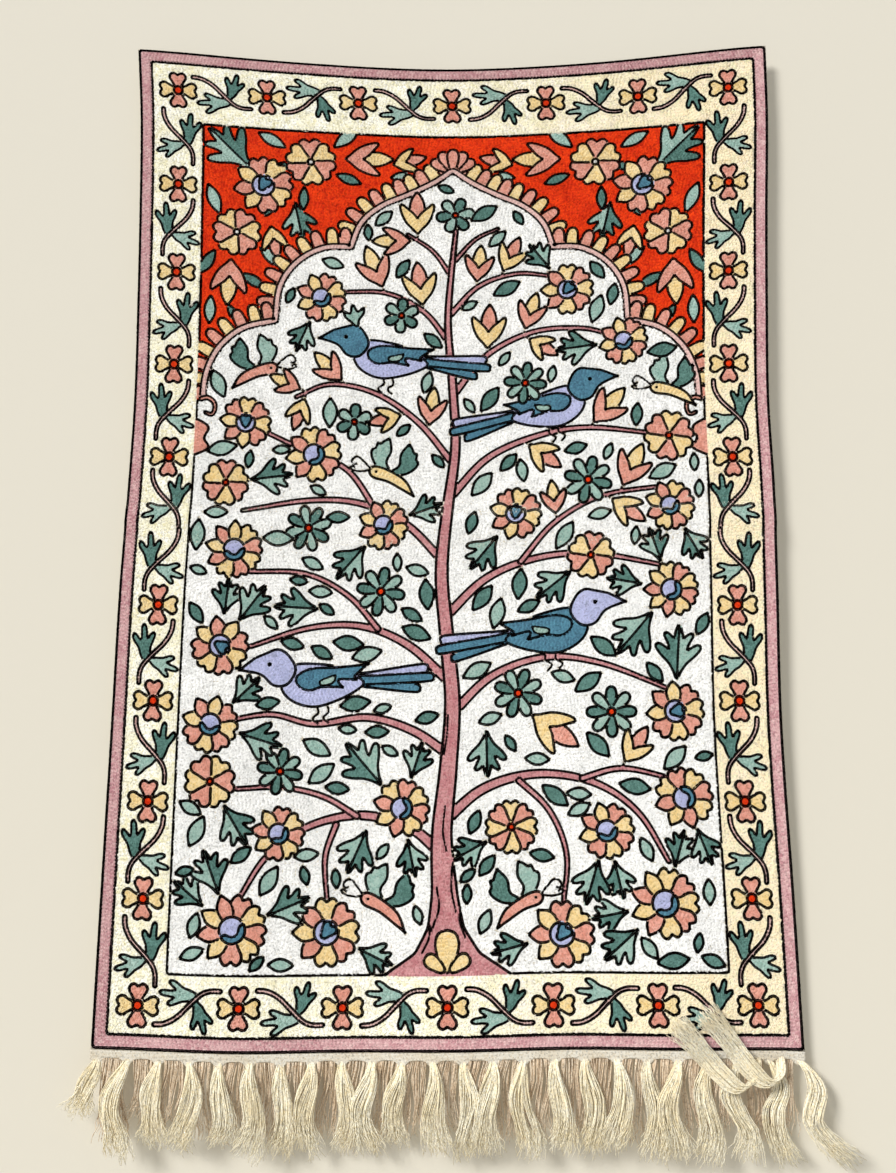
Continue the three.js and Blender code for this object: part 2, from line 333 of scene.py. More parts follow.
def rosette(at, heading, radius, petals=8, core="red"):
    """A round of narrow leaves in two greens about a small bright eye."""
    for k in range(petals):
        turn = heading + 360 * k / petals
        root = np.asarray(at) + place([(0.12 * radius, 0)], (0, 0), turn)[0]
        motif(ROUNDED * (1, 4.96 / petals), root, turn, 0.9 * radius, GREENS[k % 2])
    disc(at, 0.17 * radius, core)


# %% Birds
TAIL = [(-13, 84, "blue"), (3, 92, "lilac"), (-5, 96, "blue")]
BIRD_BODY = [(-38, 0), (-20, 12), (2, 17), (20, 17), (32, 6), (26, -10), (6, -19), (-18, -15), (-38, -6)]
BIRD_HEAD = [(40, 30), (52, 26), (52, 26), (66, 17), (66, 17), (48, 12), (38, 2), (26, 2), (18, 14),
             (24, 27), (32, 32)]
BIRD_WING = [(17, 8), (4, 13), (-18, 12), (-44, 12), (-44, 12), (-32, 3), (-34, 0), (-34, 0), (-18, 2),
             (-21, -5), (-21, -5), (-4, -3), (8, -5), (17, 0)]
WING_FOLD = [(-2, 2), (-16, 6), (-16, 6), (-14, 0), (-4, -2)]
TOE_PLACES, EYE_INK = (0, 9), 1.2


def bird(at, heading, size=1.0, flip=1, body="lilac", head="blue", wing="blue", crested=False):
    """A perched bird from its side, painted tail first and eye last, so that each part covers the last."""
    def put(points, colour, width=INK_WIDTH):
        paint(smooth(place(points, at, heading, size, flip)), colour, width)

    for drop, reach, colour in TAIL:
        put([(-26, -3), (-50, -3 + 0.45 * drop), (-reach, drop - 3), (-reach - 4, drop), (-reach, drop + 4),
             (-50, 4 + 0.45 * drop), (-26, 4)], colour)
    for foot in TOE_PLACES:
        leg = [(foot - 4, -14), (foot - 8, -24), (foot - 2, -29), (foot - 7, -34)]
        ink_line(smooth(place(leg, at, heading, size, flip), closed=False), THINNER_INK)
    put(BIRD_BODY, body)
    put(BIRD_HEAD, head)
    put(BIRD_WING, wing)
    put(WING_FOLD, "sage", THINNER_INK)
    disc(place([(40, 20)], at, heading, size, flip)[0], 1.6 * size, "black", EYE_INK)
    if crested:
        crown = place([(30, 31)], at, heading, size, flip)[0]
        motif(TRIPLE_LEAF, crown, heading + 70 * flip, 20 * size, "sage", flip)


# %% Insects
INSECT_WING = np.array([
    (0, 0), (10, 12), (8, 26), (14, 40), (14, 40), (20, 34), (22, 30), (26, 32), (26, 24), (30, 22),
    (28, 14), (18, 4)])
INSECT_BODY = [(-34, -14), (-34, -14), (-20, 0), (0, 6), (18, 7), (24, 1), (18, -6), (0, -6), (-18, -10)]


def insect(at, heading, size=1.0, flip=1, body="pink"):
    """A fluttering insect: two scalloped wings, a tapering body and two curled feelers."""
    for points, colour in ((INSECT_WING * (-1, 1) + (2, 3), "fir"), (INSECT_WING + (-2, 3), "sage"),
                           (INSECT_BODY, body)):
        paint(smooth(place(points, at, heading, size, flip)), colour)
    disc(place([(16, 1)], at, heading, size, flip)[0], 1.3 * size, "black", EYE_INK)
    for bend in (1, -0.4):
        feeler = [(22, 2), (32, 8 * bend), (42, 12 * bend), (47, 6 * bend), (44, 1 * bend), (40, 4 * bend)]
        ink_line(smooth(place(feeler, at, heading, size, flip), closed=False), INK_WIDTH * 0.6)


print("motifs are ready: leaves, buds, flowers, rosettes, birds and insects")

# %% [markdown]
# ## Edge and border
# The real hanging has a narrow mauve edge and, inside it, an ivory border of four-petalled flowers with a
# curved stem and two leaves between each two. All of it is hand drawn, so no two stems are quite alike.
# One flower and one spray are functions, and loops set them along the four sides, turned over by turns.
# An array modifier would repeat them too, but it could not turn the sprays or change their greens.

# %% Grounds of the edge and the border
EDGE_INK, EDGE_BAND = 1.6, 11.0


def rectangle(inset, top, bottom):
    """The corners of a rectangle, a distance in from both sides of the cloth."""
    half = CLOTH_WIDTH / 2 - inset
    return np.array([(-half, top), (half, top), (half, bottom), (-half, bottom)], float)


paint(rectangle(EDGE_INK, EDGE_INK, CLOTH_DROP - EDGE_INK), "mauve")
inner = EDGE_INK + EDGE_BAND
BORDER = paint(rectangle(inner, inner, CLOTH_DROP - inner), "ivory", ground=True)
print("cells in the border's ground:", int((region == BORDER).sum()))

# %% A border flower and a border spray
BORDER_PETAL, BORDER_PETAL_FILL, BORDER_PETAL_ROOT, BORDER_EYE = 15.5, 1.12, 2.5, 4.4
STEM_INK, LEAF_INK, STEM_WIDTHS = 2.1, 2.205, (3.2, 2.8)
SPRAY_STEM = [(-30, -15), (-20, -14), (-9, -8), (2, 3), (11, 11), (19, 14), (29, 14)]
SPRAY_LEAVES = [((6, 6), -72, 28, 0.68), ((9, 10), -184, 33, 0.62)]
LOBED = np.array([
    (0, 0.02), (0.12, 0.14), (0.26, 0.26), (0.42, 0.30), (0.57, 0.42), (0.73, 0.52), (0.81, 0.47),
    (0.76, 0.34), (0.61, 0.17), (0.78, 0.15), (0.98, 0.11), (1.05, 0.02), (0.97, -0.07), (0.76, -0.08),
    (0.59, -0.13), (0.70, -0.27), (0.81, -0.42), (0.75, -0.51), (0.61, -0.45), (0.42, -0.25),
    (0.24, -0.18), (0.10, -0.09)])


def border_flower(at):
    """Four heart-shaped petals, a quarter turn apart, about a red eye."""
    form = HEART * (1, BORDER_PETAL_FILL)
    for k in range(4):
        root = place([(BORDER_PETAL_ROOT, 0)], at, 90 * k)[0]
        motif(form, root, 90 * k, BORDER_PETAL, PETAL_COLOURS[k % 2])
    disc(at, BORDER_EYE, "red")


def border_spray(at, along, flip, near="fir", far="sage"):
    """A curved stem between two flowers, with one leaf across the border and one back along it."""
    for (root, turn, size, belly), colour in zip(SPRAY_LEAVES, (near, far)):
        spot = place([root], at, along, 1, flip)[0]
        motif(LOBED * (1, belly), spot, along + turn * flip, size, colour, flip, LEAF_INK)
    ribbon(place(SPRAY_STEM, at, along, 1, flip), *STEM_WIDTHS, "blush", STEM_INK)


# %% The four sides
ROW_PLACES = [-267, -180, -91, 0, 91, 180, 267]
COLUMN_PLACES = [41, 139, 228, 319, 408, 545, 631, 719, 802, 891]
ROWS, COLUMNS = (COLUMN_PLACES[0], COLUMN_PLACES[-1]), (ROW_PLACES[0], ROW_PLACES[-1])
WIDE_GAP = 120
for row in ROWS:
    for k, (a, b) in enumerate(zip(ROW_PLACES, ROW_PLACES[1:])):
        border_spray(((a + b) / 2, row), 90, 1 if (k % 2 == 0) == (row == ROWS[0]) else -1)
for column in COLUMNS:
    for k, (a, b) in enumerate(zip(COLUMN_PLACES, COLUMN_PLACES[1:])):
        turn = 1 if (k % 2 == 0) == (column > 0) else -1
        shares = ((0.30, turn), (0.70, -turn)) if b - a > WIDE_GAP else ((0.5, turn),)
        for share, flip in shares:
            border_spray((column, a + share * (b - a)), 180, flip, "sage", "fir")
for column in ROW_PLACES:
    for row in COLUMN_PLACES if column in COLUMNS else ROWS:
        border_flower((column, row))
print("border flowers:", 2 * len(ROW_PLACES) + 2 * len(COLUMN_PLACES) - 4)

# %% [markdown]
# ## Red corners and the arch
# Above the tree, two red corners meet along a pointed arch of three lobes a side, an old form of gateway.
# The arch is a pale pink band with a fringe of petals outside it, pink and yellow by turns.
# The right half is drawn once and mirrored. The band is the gap between two outlines: the same curve moved
# outward and inward, which keeps its width even round every lobe.

# %% The red ground and the arch's curve
FRAME_INSET, FRAME_TOP, FRAME_FOOT = 62.0, 75.0, 864.0
paint(rectangle(FRAME_INSET, FRAME_TOP, FRAME_FOOT), "red", ground=True)
LOBES = [
    [(0, 112), (18, 125), (42, 138), (68, 151), (87, 169), (97, 195)],
    [(97, 195), (124, 197), (149, 212), (165, 237), (169, 272)],
    [(169, 272), (200, 281), (222, 300), (234, 325), (237, 352)],
]
ARCH_FOOT = 352.0


def arch_side(out):
    """The arch's right half, each point moved square to the curve by a distance."""
    line = np.vstack([evenly(smooth(lobe, closed=False), 1.0, closed=False) for lobe in LOBES])
    along = np.gradient(line, axis=0)
    return line - square_to(along) / np.maximum(np.linalg.norm(along, axis=1, keepdims=True), TINY) * out


def both_sides(half):
    """A half outline from the tip down, and its mirror image before it."""
    return np.vstack([half[::-1] * (-1, 1), half])


def both(draw, spot, turn, *rest):
    """The same motif on the left and, mirrored, on the right; turns count from up towards the outside."""
    for side in (-1, 1):
        draw((side * spot[0], spot[1]), side * turn, *rest)


print("the arch is", len(arch_side(0)), "mm long on each side")

# %% Flowers and leaves in the corners
window[:] = [-CLOTH_WIDTH / 2 + FRAME_INSET, FRAME_TOP, CLOTH_WIDTH / 2 - FRAME_INSET, FRAME_FOOT]
CORNER_LEAVES = [
    ((163, 93), 62, 30, "sage"), ((115, 90), -48, 32, "sage"), ((113, 119), -110, 26, "fir"),
    ((144, 134), 178, 24, "fir"), ((226, 166), 22, 32, "sage"), ((182, 166), -30, 26, "fir"),
    ((186, 198), -130, 30, "sage"), ((230, 204), 150, 28, "fir"), ((156, 110), 110, 22, "fir"),
    ((233, 250), 178, 28, "sage"), ((203, 226), -120, 26, "fir"), ((60, 120), -76, 20, "sage"),
    ((216, 258), -150, 20, "fir"),
]
CORNER_MOTIFS = [
    (spray_leaf, (196, 118), 46, 52, "fir", "sage"), (spray_leaf, (153, 150), -168, 36, "sage", "fir"),
    *[(leaf, *values) for values in CORNER_LEAVES],
    (flower, (184, 134), 12, 30, 8, "core"),
    (flower, (138, 107), 4, 25, 6, "white", "pink", "yellow", False),
    (flower, (209, 184), 34, 24, 6, "white", "yellow", "pink", False),
    (bud, (104, 102), -88, 36), (bud, (214, 212), 176, 36),
    (bud, (58, 106), -74, 26, "yellow", "pink"), (bud, (176, 176), -168, 26, "yellow", "pink"),
]
for values in CORNER_MOTIFS:
    both(*values)
print("shapes so far:", len(shapes) - 1)

# %% Petals along the arch
PETAL_STEP, PETAL_LENGTH, TIP_PETAL = 12.6, 21.0, 24
for side in (-1, 1):
    for lobe in LOBES:
        line = evenly(smooth(lobe, closed=False), PETAL_STEP, closed=False)
        for k, (a, b) in enumerate(zip(line[:-1], line[1:])):
            turn = np.degrees(np.arctan2((b - a)[1], (b - a)[0]))
            middle = (a + b) / 2 * (side, 1)
            motif(PETAL_EDGE * (1, 0.92), middle, side * turn, PETAL_LENGTH, PETAL_COLOURS[k % 2], side)
for turn in (-62, 62, -30, 30, 0):
    motif(ROUNDED * (1, 0.62), LOBES[0][0], turn, TIP_PETAL, "pink")

# %% The arch's band and the white field
BAND_OUT, BAND_IN = 4.0, -1.6
SCROLL = np.array([(241, 352), (233, 350), (226, 356), (228, 366), (236, 364)])
HALF_LEAF = np.array([(245, 370), (245, 370), (231, 378), (235, 389), (230, 398), (245, 406), (245, 406)])
field_side = CLOTH_WIDTH / 2 - FRAME_INSET
foot_corners = np.array([(field_side, ARCH_FOOT), (field_side, FRAME_FOOT)])
band, field = (both_sides(np.vstack([arch_side(out), foot_corners])) for out in (BAND_OUT, BAND_IN))
paint(band, "blush", THIN_INK)
FIELD = paint(field, "white", THIN_INK, ground=True)
for side in (-1, 1):
    ribbon(SCROLL * (side, 1), 3.6, 2.6, "pink")
    paint(smooth(HALF_LEAF * (side, 1)), "pink")
print("cells in the white field:", int((region == FIELD).sum()))

# %% [markdown]
# ## The tree
# A tree of life fills the white field: a trunk on a spreading foot, with branches that curve out and down.
# The design here is an ordinary tree of that kind in a layout of its own, with the hanging's scale and
# colours. A branch is one ribbon along a smooth curve, so moving one point of the list bends all of it.

# %% Trunk and branches
TRUNK = np.array([
    (0, 867, 118), (0, 846, 56), (-1, 824, 31), (-2, 795, 22), (-4, 745, 17), (2, 690, 15), (6, 630, 13),
    (0, 570, 12), (-6, 510, 11), (-2, 450, 9.5), (5, 390, 8), (2, 330, 7), (-3, 270, 5.5), (0, 215, 4.5),
    (4, 172, 3.4)], float)
BRANCHES = [
    ([(-4, 762), (-34, 738), (-78, 728), (-124, 738), (-160, 764), (-184, 802)], 9, 3.4),
    ([(-78, 730), (-110, 712), (-148, 704), (-190, 706)], 5, 3),
    ([(-98, 734), (-108, 764), (-106, 800)], 5, 3),
    ([(3, 676), (-30, 654), (-72, 642), (-120, 648), (-160, 640), (-204, 648)], 8, 3),
    ([(4, 612), (-34, 578), (-78, 560), (-128, 562), (-186, 582)], 8, 3),
    ([(-62, 564), (-92, 532), (-134, 512), (-190, 512)], 5, 3),
    ([(-5, 500), (-40, 466), (-84, 446), (-134, 444), (-196, 456)], 7, 3),
    ([(-70, 451), (-98, 414), (-140, 396), (-196, 372)], 5, 3),
    ([(3, 408), (-30, 368), (-72, 340), (-116, 332), (-150, 346)], 6, 3),
    ([(-1, 290), (-26, 258), (-62, 240), (-106, 240)], 5, 2.8),
    ([(0, 222), (-18, 196), (-44, 178)], 4, 2.6),
    ([(-3, 735), (34, 706), (82, 694), (132, 702), (170, 728), (196, 772)], 9, 3.4),
    ([(64, 698), (92, 726), (106, 764), (102, 806)], 5, 3),
    ([(120, 699), (158, 690), (206, 700)], 5, 3),
    ([(5, 640), (42, 606), (90, 590), (140, 596), (202, 620)], 8, 3),
    ([(-2, 552), (36, 516), (84, 498), (136, 496), (200, 508)], 8, 3),
    ([(66, 503), (98, 466), (142, 442), (198, 434)], 5, 3),
    ([(0, 440), (36, 402), (84, 382), (132, 376), (196, 384)], 7, 3),
    ([(2, 342), (34, 302), (78, 280), (126, 278), (160, 288)], 6, 3),
    ([(-2, 262), (26, 232), (62, 220), (98, 224)], 5, 2.8),
    ([(1, 208), (22, 184), (46, 172)], 4, 2.6),
]
BARK_MARKS = [
    [(-9, 790), (-7, 808), (-14, 828)], [(6, 762), (4, 790), (8, 812)], [(-1, 720), (-3, 742), (0, 760)],
    [(16, 834), (11, 818), (12, 806)], [(2, 640), (1, 660), (-2, 676)], [(-22, 846), (-16, 834), (-15, 822)],
]
for points, start, end in BRANCHES:
    ribbon(points, start, end, "bark")
line = smooth(TRUNK[:, :2], closed=False)
width = np.interp(np.linspace(0, 1, len(line)), np.linspace(0, 1, len(TRUNK)), TRUNK[:, 2])
half = np.stack([width / 2, np.zeros(len(line))], 1)
paint(np.vstack([line + half, (line - half)[::-1]]), "bark")
for foot, reach in ((0, 34), (-1, 20), (1, 20)):
    motif(ROUNDED * (1, 0.8), (foot * 3, 861), foot * 52, reach, "yellow")
for mark in BARK_MARKS:
    ink_line(smooth(mark, closed=False), THINNER_INK)
print("a trunk and", len(BRANCHES), "branches")

# %% [markdown]
# ## Birds, flowers and insects
# Large motifs are set one by one, as the maker would mark them first, with birds on the branches and flowers
# at their ends. A list of plain values for each kind is easier to change than a call for each one.

# %% Large motifs set one by one
BIRDS = [
    ((-118, 612), 96, 1.06, -1, "lilac", "lilac", "blue", False),
    ((96, 566), 84, 1.06, 1, "blue", "lilac", "blue", False),
    ((-62, 306), 88, 1.0, -1, "lilac", "blue", "blue", True),
    ((98, 355), 80, 1.0, 1, "lilac", "blue", "blue", False),
]
FLOWERS = [
    ((-188, 826), 20, 31, 9, "eye"), ((-106, 828), 0, 30, 8, "core"), ((-214, 650), 60, 26, 8, "eye"),
    ((-212, 700), 30, 23, 6, "red"), ((-150, 744), 10, 24, 8, "eye"), ((-40, 722), 330, 26, 8, "eye"),
    ((-208, 580), 80, 27, 8, "core"), ((-200, 492), 40, 27, 9, "eye"), ((-212, 430), 0, 22, 6, "red"),
    ((-130, 400), 350, 27, 8, "eye"), ((-196, 372), 320, 25, 8, "core"), ((-62, 466), 20, 24, 8, "eye"),
    ((-126, 246), 20, 25, 8, "eye"),
    ((190, 806), 10, 31, 9, "eye"), ((100, 832), 0, 29, 8, "core"), ((212, 716), 300, 27, 8, "eye"),
    ((142, 744), 30, 25, 8, "eye"), ((58, 740), 0, 24, 8, "red"), ((208, 640), 40, 27, 8, "core"),
    ((206, 530), 350, 26, 9, "eye"), ((132, 497), 10, 22, 6, "red"), ((206, 452), 20, 24, 8, "eye"),
    ((62, 456), 330, 25, 8, "core"), ((208, 386), 10, 24, 6, "red"), ((166, 292), 30, 24, 8, "eye"),
    ((112, 238), 0, 26, 8, "core"),
]
ROSETTES = [
    ((-62, 528), 10, 22), ((-132, 470), 30, 21), ((66, 622), 20, 22), ((150, 640), 0, 22),
    ((130, 426), 15, 22), ((-150, 690), 12, 20), ((72, 330), 8, 20), ((3, 158), 22, 18),
    ((-92, 368), 5, 17), ((-48, 262), 5, 17),
]
INSECTS = [
    ((-186, 322), 76, 0.82, 1, "pink"), ((210, 342), 80, 0.78, -1, "yellow"),
    ((-58, 420), 74, 0.82, -1, "yellow"), ((66, 806), 70, 0.82, 1, "pink"),
    ((-58, 806), 66, 0.82, -1, "pink"),
]
SMALL_ROSETTE = 18
PAIRS = (PETAL_COLOURS, PETAL_COLOURS[::-1])
for spot, turn, size, side, body, head, wing, crested in BIRDS:
    bird(spot, side * turn, size, -side, body, head, wing, crested)
for spot, turn, radius in ROSETTES:
    rosette(spot, turn, radius, 8 if radius > SMALL_ROSETTE else 6)
for k, (spot, turn, radius, petals, kind) in enumerate(FLOWERS):
    flower(spot, turn, radius, petals, kind, *PAIRS[k % 2], split=kind != "red")
for spot, turn, size, side, body in INSECTS:
    insect(spot, side * turn, size, -side, body)
print(len(BIRDS), "birds,", len(FLOWERS), "flowers,", len(ROSETTES), "rosettes,", len(INSECTS), "insects")

# %% [markdown]
# ## Leaves and buds along the branches
# The real needlework leaves hardly any white: buds and leaves crowd every branch, and each keeps a little
# room to the next. Setting hundreds by hand would take days, so the chart is asked before each one:
# a motif is painted where the ground is bare under it and about it, else a smaller one is tried.
# One seeded generator makes the turns, so that each run gives the same cloth.

# %% Asking for room
rng = np.random.default_rng(7)
BUD_ROOM = mirrored([(1.14, 0), (0.90, 0.36), (0.66, 0.48), (0.3, 0.38), (0.06, 0.06)])
SPRAY_ROOM = mirrored([(1.04, 0), (0.70, 0.42), (0.35, 0.28), (0.04, 0.04)])
TWIG_START, TWIG_END = 2.5, 7
count = 0


def clear(outline, spare=1.14):
    """Whether the outline, one a little larger and one well inside it all lie on bare white ground."""
    middle = outline.mean(0)
    for share in (spare, 0.7, 0.35):
        iy, ix = cells(middle + (outline - middle) * share)
        if (region[iy, ix] != FIELD).any() or (ink[iy, ix] > 0).any():
            return False
    return True


def heading_of(step):
    """The heading of a step, in degrees from up the cloth."""
    return np.degrees(np.arctan2(step[0], -step[1]))


def from_spot(spot, turn, reach):
    """A spot moved along a heading."""
    return np.asarray(spot) + place([(reach, 0)], (0, 0), turn)[0]


def two_greens():
    """The two greens, in an order that changes with each motif."""
    return GREENS if count % 2 else GREENS[::-1]


def bud_on(spot, turn, size):
    """A bud on a short twig where there is room for it; tells whether it was painted."""
    base = from_spot(spot, turn, TWIG_END)
    if not clear(place(BUD_ROOM, base, turn, size), 1.04):
        return False
    ink_line(np.array([from_spot(spot, turn, TWIG_START), base]))
    bud(base, turn, size, *PAIRS[count % 2])
    return True


# %% Buds at the ends of branches and along some of them
BUD_SIZES, TIP_STEP, TIP_SPREAD = (34, 29, 25), 13.0, 38
BUD_BRANCHES = {7: 27, 8: 27, 9: 27, 10: 27, 13: 27, 16: 27, 17: 26, 18: 27, 19: 27, 20: 27}
for points, start, end in BRANCHES:
    line = evenly(smooth(points, closed=False), TIP_STEP, closed=False)
    tip = heading_of(line[-1] - line[-2])
    for spin in (0, -TIP_SPREAD, TIP_SPREAD):
        count += bud_on(line[-1], tip + spin, BUD_SIZES[0])
for number, apart in BUD_BRANCHES.items():
    line = evenly(smooth(BRANCHES[number][0], closed=False), apart / 2, closed=False)
    for k, (spot, step) in enumerate(zip(line[1:], np.diff(line, axis=0))):
        for side in (1, -1) if k % 2 else (-1, 1):
            for size in BUD_SIZES:
                if bud_on(spot, heading_of(step) + side * rng.uniform(34, 58), size):
                    count += 1
                    break
print("buds on the branches:", count)

# %% Narrow leaves along every branch, large ones about the flowers
LEAF_TRIES = ((LENS * (1, 1.25), 27), (LENS * (1, 1.25), 22), (LENS * (1, 1.3), 17))
LEAF_STEP, LEAF_OFF, SPRAY_OFF, SPRAY_SIZES, MOST_SPRAYS = 11.0, 2.6, 1.5, (44, 36, 30), 3
for points, start, end in BRANCHES:
    line = evenly(smooth(points, closed=False), LEAF_STEP, closed=False)
    for spot, step in zip(line[1:], np.diff(line, axis=0)):
        for side in (1, -1):
            turn = heading_of(step) + side * rng.uniform(38, 62)
            base = from_spot(spot, turn, LEAF_OFF)
            for form, size in LEAF_TRIES:
                if clear(smooth(place(form, base, turn, size))):
                    motif(form, base, turn, size, GREENS[count % 2])
                    count += 1
                    break
for spot, _, radius, _, _ in FLOWERS:
    placed = 0
    for turn in rng.permutation(12) * 30 + rng.uniform(0, 30):
        base = from_spot(spot, turn, radius + SPRAY_OFF)
        for size in SPRAY_SIZES:
            if placed < MOST_SPRAYS and clear(place(SPRAY_ROOM, base, turn, size), 1.05):
                spray_leaf(base, turn, size, *two_greens())
                count, placed = count + 1, placed + 1
                break
print("buds and leaves:", count)

# %% [markdown]
# ## The last bare places
# What is still bare is filled with loose buds and leaves that point away from the lower trunk.
# Spots are thrown at random and kept where they fit, from the largest motif to the smallest. It is a
# simple way of packing, and it leaves the small even gaps that a patient hand would leave.

# %% Loose buds and leaves
THROWN = [(bud, 38), (spray_leaf, 46), (bud, 32), (spray_leaf, 37), (bud, 28), (leaf, 28), (leaf, 22),
          (leaf, 17)]
BUD_THROWS, LEAF_THROWS = 700, 1200
ROOM = {
    spray_leaf: mirrored([(1.06, 0), (0.66, 0.46), (0.3, 0.3), (0, 0.05)]),
    bud: mirrored([(1.2, 0), (0.84, 0.5), (0.3, 0.5), (0, 0.1)]),
    leaf: LENS * (1, 1.25),
}
LOW_TRUNK = np.array([0, 640])
for draw, size in THROWN:
    for _ in range(BUD_THROWS if draw is bud else LEAF_THROWS):
        spot = np.array([rng.uniform(-236, 236), rng.uniform(120, 858)])
        turn = heading_of(spot - LOW_TRUNK) + rng.uniform(-70, 70)
        if clear(place(ROOM[draw], spot, turn, size), 1.08):
            colours = {bud: PAIRS[count % 2], leaf: (GREENS[count % 2], 1.25), spray_leaf: two_greens()}
            draw(spot, turn, size, *colours[draw])
            count += 1
window[:] = [-CLOTH_WIDTH / 2, 0.0, CLOTH_WIDTH / 2, CLOTH_DROP]
print("buds and leaves in all:", count)

# %% [markdown]
# ## Stitches
# Up close, the cloth is rows of short slanting wool stitches that follow the edge of each shape inward, as
# chain stitch does. A bump texture would show rows, but in one direction and with no gaps, and the light
# from the left would miss their relief. Here each stitch is noted with its middle, direction and size.
# The chart marks the cells it covers, so later rows keep clear of earlier ones.

# %% Noting stitches
ROW_PITCH, STITCH, INK_STITCH = 2.5, 3.4, 3.1
SHORTEST_RUN, SHORTEST_STITCH, LONGEST_STITCH, LAP = 0.55, 0.4, 1.6, 1.04
covered = np.zeros((NY, NX), bool)
laid = {colour: [] for colour in THREADS}


def lay(colour, middle, along, length, width):
    """Notes stitches by middle, direction, length and width, and marks the cells under them."""
    if not len(middle):
        return
    size = np.broadcast_to(np.stack(np.broadcast_arrays(length, width), -1), (len(middle), 2))
    laid[colour].append(np.hstack([middle, along, size]))
    u, v = (g.ravel() for g in np.meshgrid(np.linspace(-0.5, 0.5, 8), np.linspace(-0.46, 0.46, 6)))
    spots = (middle[:, None] + along[:, None] * (u[None, :, None] * size[:, None, :1])
             + square_to(along)[:, None] * (v[None, :, None] * size[:, None, 1:]))
    covered[cells(spots.reshape(-1, 2))] = True


def on_ground(points, number):
    """Whether each point lies in a shape's own cells, clear of any outline."""
    iy, ix = cells(points)
    return (region[iy, ix] == number) & (ink[iy, ix] == 0)


# %% One row of stitches along a line
def lay_row(line, good, colour, step, width, closed=True):
    """Cuts each good stretch of a line into equal stitches, by the length gone along it."""
    if closed and good.all():
        line, good = np.vstack([line, line[:1]]), np.ones(len(line) + 1, bool)
    elif closed:
        shift = int(np.argmin(good))
        line, good = np.roll(line, -shift, 0), np.roll(good, -shift)
    edge = np.flatnonzero(np.diff(np.r_[False, good, False].astype(int)))
    for first, last in zip(edge[::2], edge[1::2]):
        run = line[first:last]
        gone = length_gone(run)
        if gone[-1] < SHORTEST_RUN * step:
            continue
        at = np.linspace(0, gone[-1], max(int(round(gone[-1] / step)), 1) + 1)
        knots = points_at(at, gone, run)
        step_by = np.diff(knots, axis=0)
        length = np.linalg.norm(step_by, axis=1)
        fit = (length > SHORTEST_STITCH) & (length < LONGEST_STITCH * step)
        along = step_by / np.maximum(length, TINY)[:, None]
        lay(colour, ((knots[:-1] + knots[1:]) / 2)[fit], along[fit], length[fit] * LAP, width)


PART_SIZE, NEARER_BY = 400, 0.35


def inward(line, by):
    """The closed line moved inward, and which of its points still keep that distance from all of it."""
    area = np.sum(line[:, 0] * np.roll(line[:, 1], -1) - np.roll(line[:, 0], -1) * line[:, 1])
    along = np.roll(line, -1, 0) - np.roll(line, 1, 0)
    along /= np.maximum(np.linalg.norm(along, axis=1, keepdims=True), TINY)
    moved = line + square_to(along) * (np.sign(area) * by)
    parts = np.array_split(moved, 1 + len(moved) // PART_SIZE)
    near = np.concatenate([((part[:, None] - line[None, ::2])**2).sum(2).min(1) for part in parts])
    return moved, near > (abs(by) - NEARER_BY)**2


# %% Outlines, then rows inward until a shape is full
THINNEST_INK, LEAST_RIM, TUCKED_UNDER = 1.9, 1.0, 0.2
for number, shape in enumerate(shapes[1:], start=1):
    line = shape["line"]
    if shape["width"]:
        iy, ix = cells(line)
        thick = max(shape["width"], THINNEST_INK)
        lay_row(line, ink[iy, ix] == number, "black", INK_STITCH, thick, shape["closed"])
    if shape["closed"] and not shape["ground"]:
        by = max(shape["width"], LEAST_RIM) / 2 + ROW_PITCH / 2 - TUCKED_UNDER
        while True:
            moved, good = inward(line, by)
            good &= on_ground(moved, number)
            if not good.any():
                break
            lay_row(moved, good, shape["colour"], STITCH, ROW_PITCH)
            by += ROW_PITCH
print("stitches in the motifs:", sum(len(rows) for parts in laid.values() for rows in parts))

# %% [markdown]
# ## The grounds
# Between the motifs the real ground is worked in small whirls, with one row laid close round each motif
# first. Whirls are rings about scattered centres, and a ring's stitch is kept where its own centre is the
# nearest one. That is the old trick of cells about seed points, and it needs no drawing of boundaries.

# %% One row of ground round each motif
grounds = [number for number, shape in enumerate(shapes) if shape and shape["ground"]]
for shape in shapes[1:]:
    if shape["closed"] and not shape["ground"]:
        moved, good = inward(shape["line"], -(shape["width"] / 2 + ROW_PITCH / 2))
        iy, ix = cells(moved)
        for ground in grounds:
            free = good & on_ground(moved, ground) & ~covered[iy, ix]
            if free.any():
                lay_row(moved, free, shapes[ground]["colour"], STITCH, ROW_PITCH)

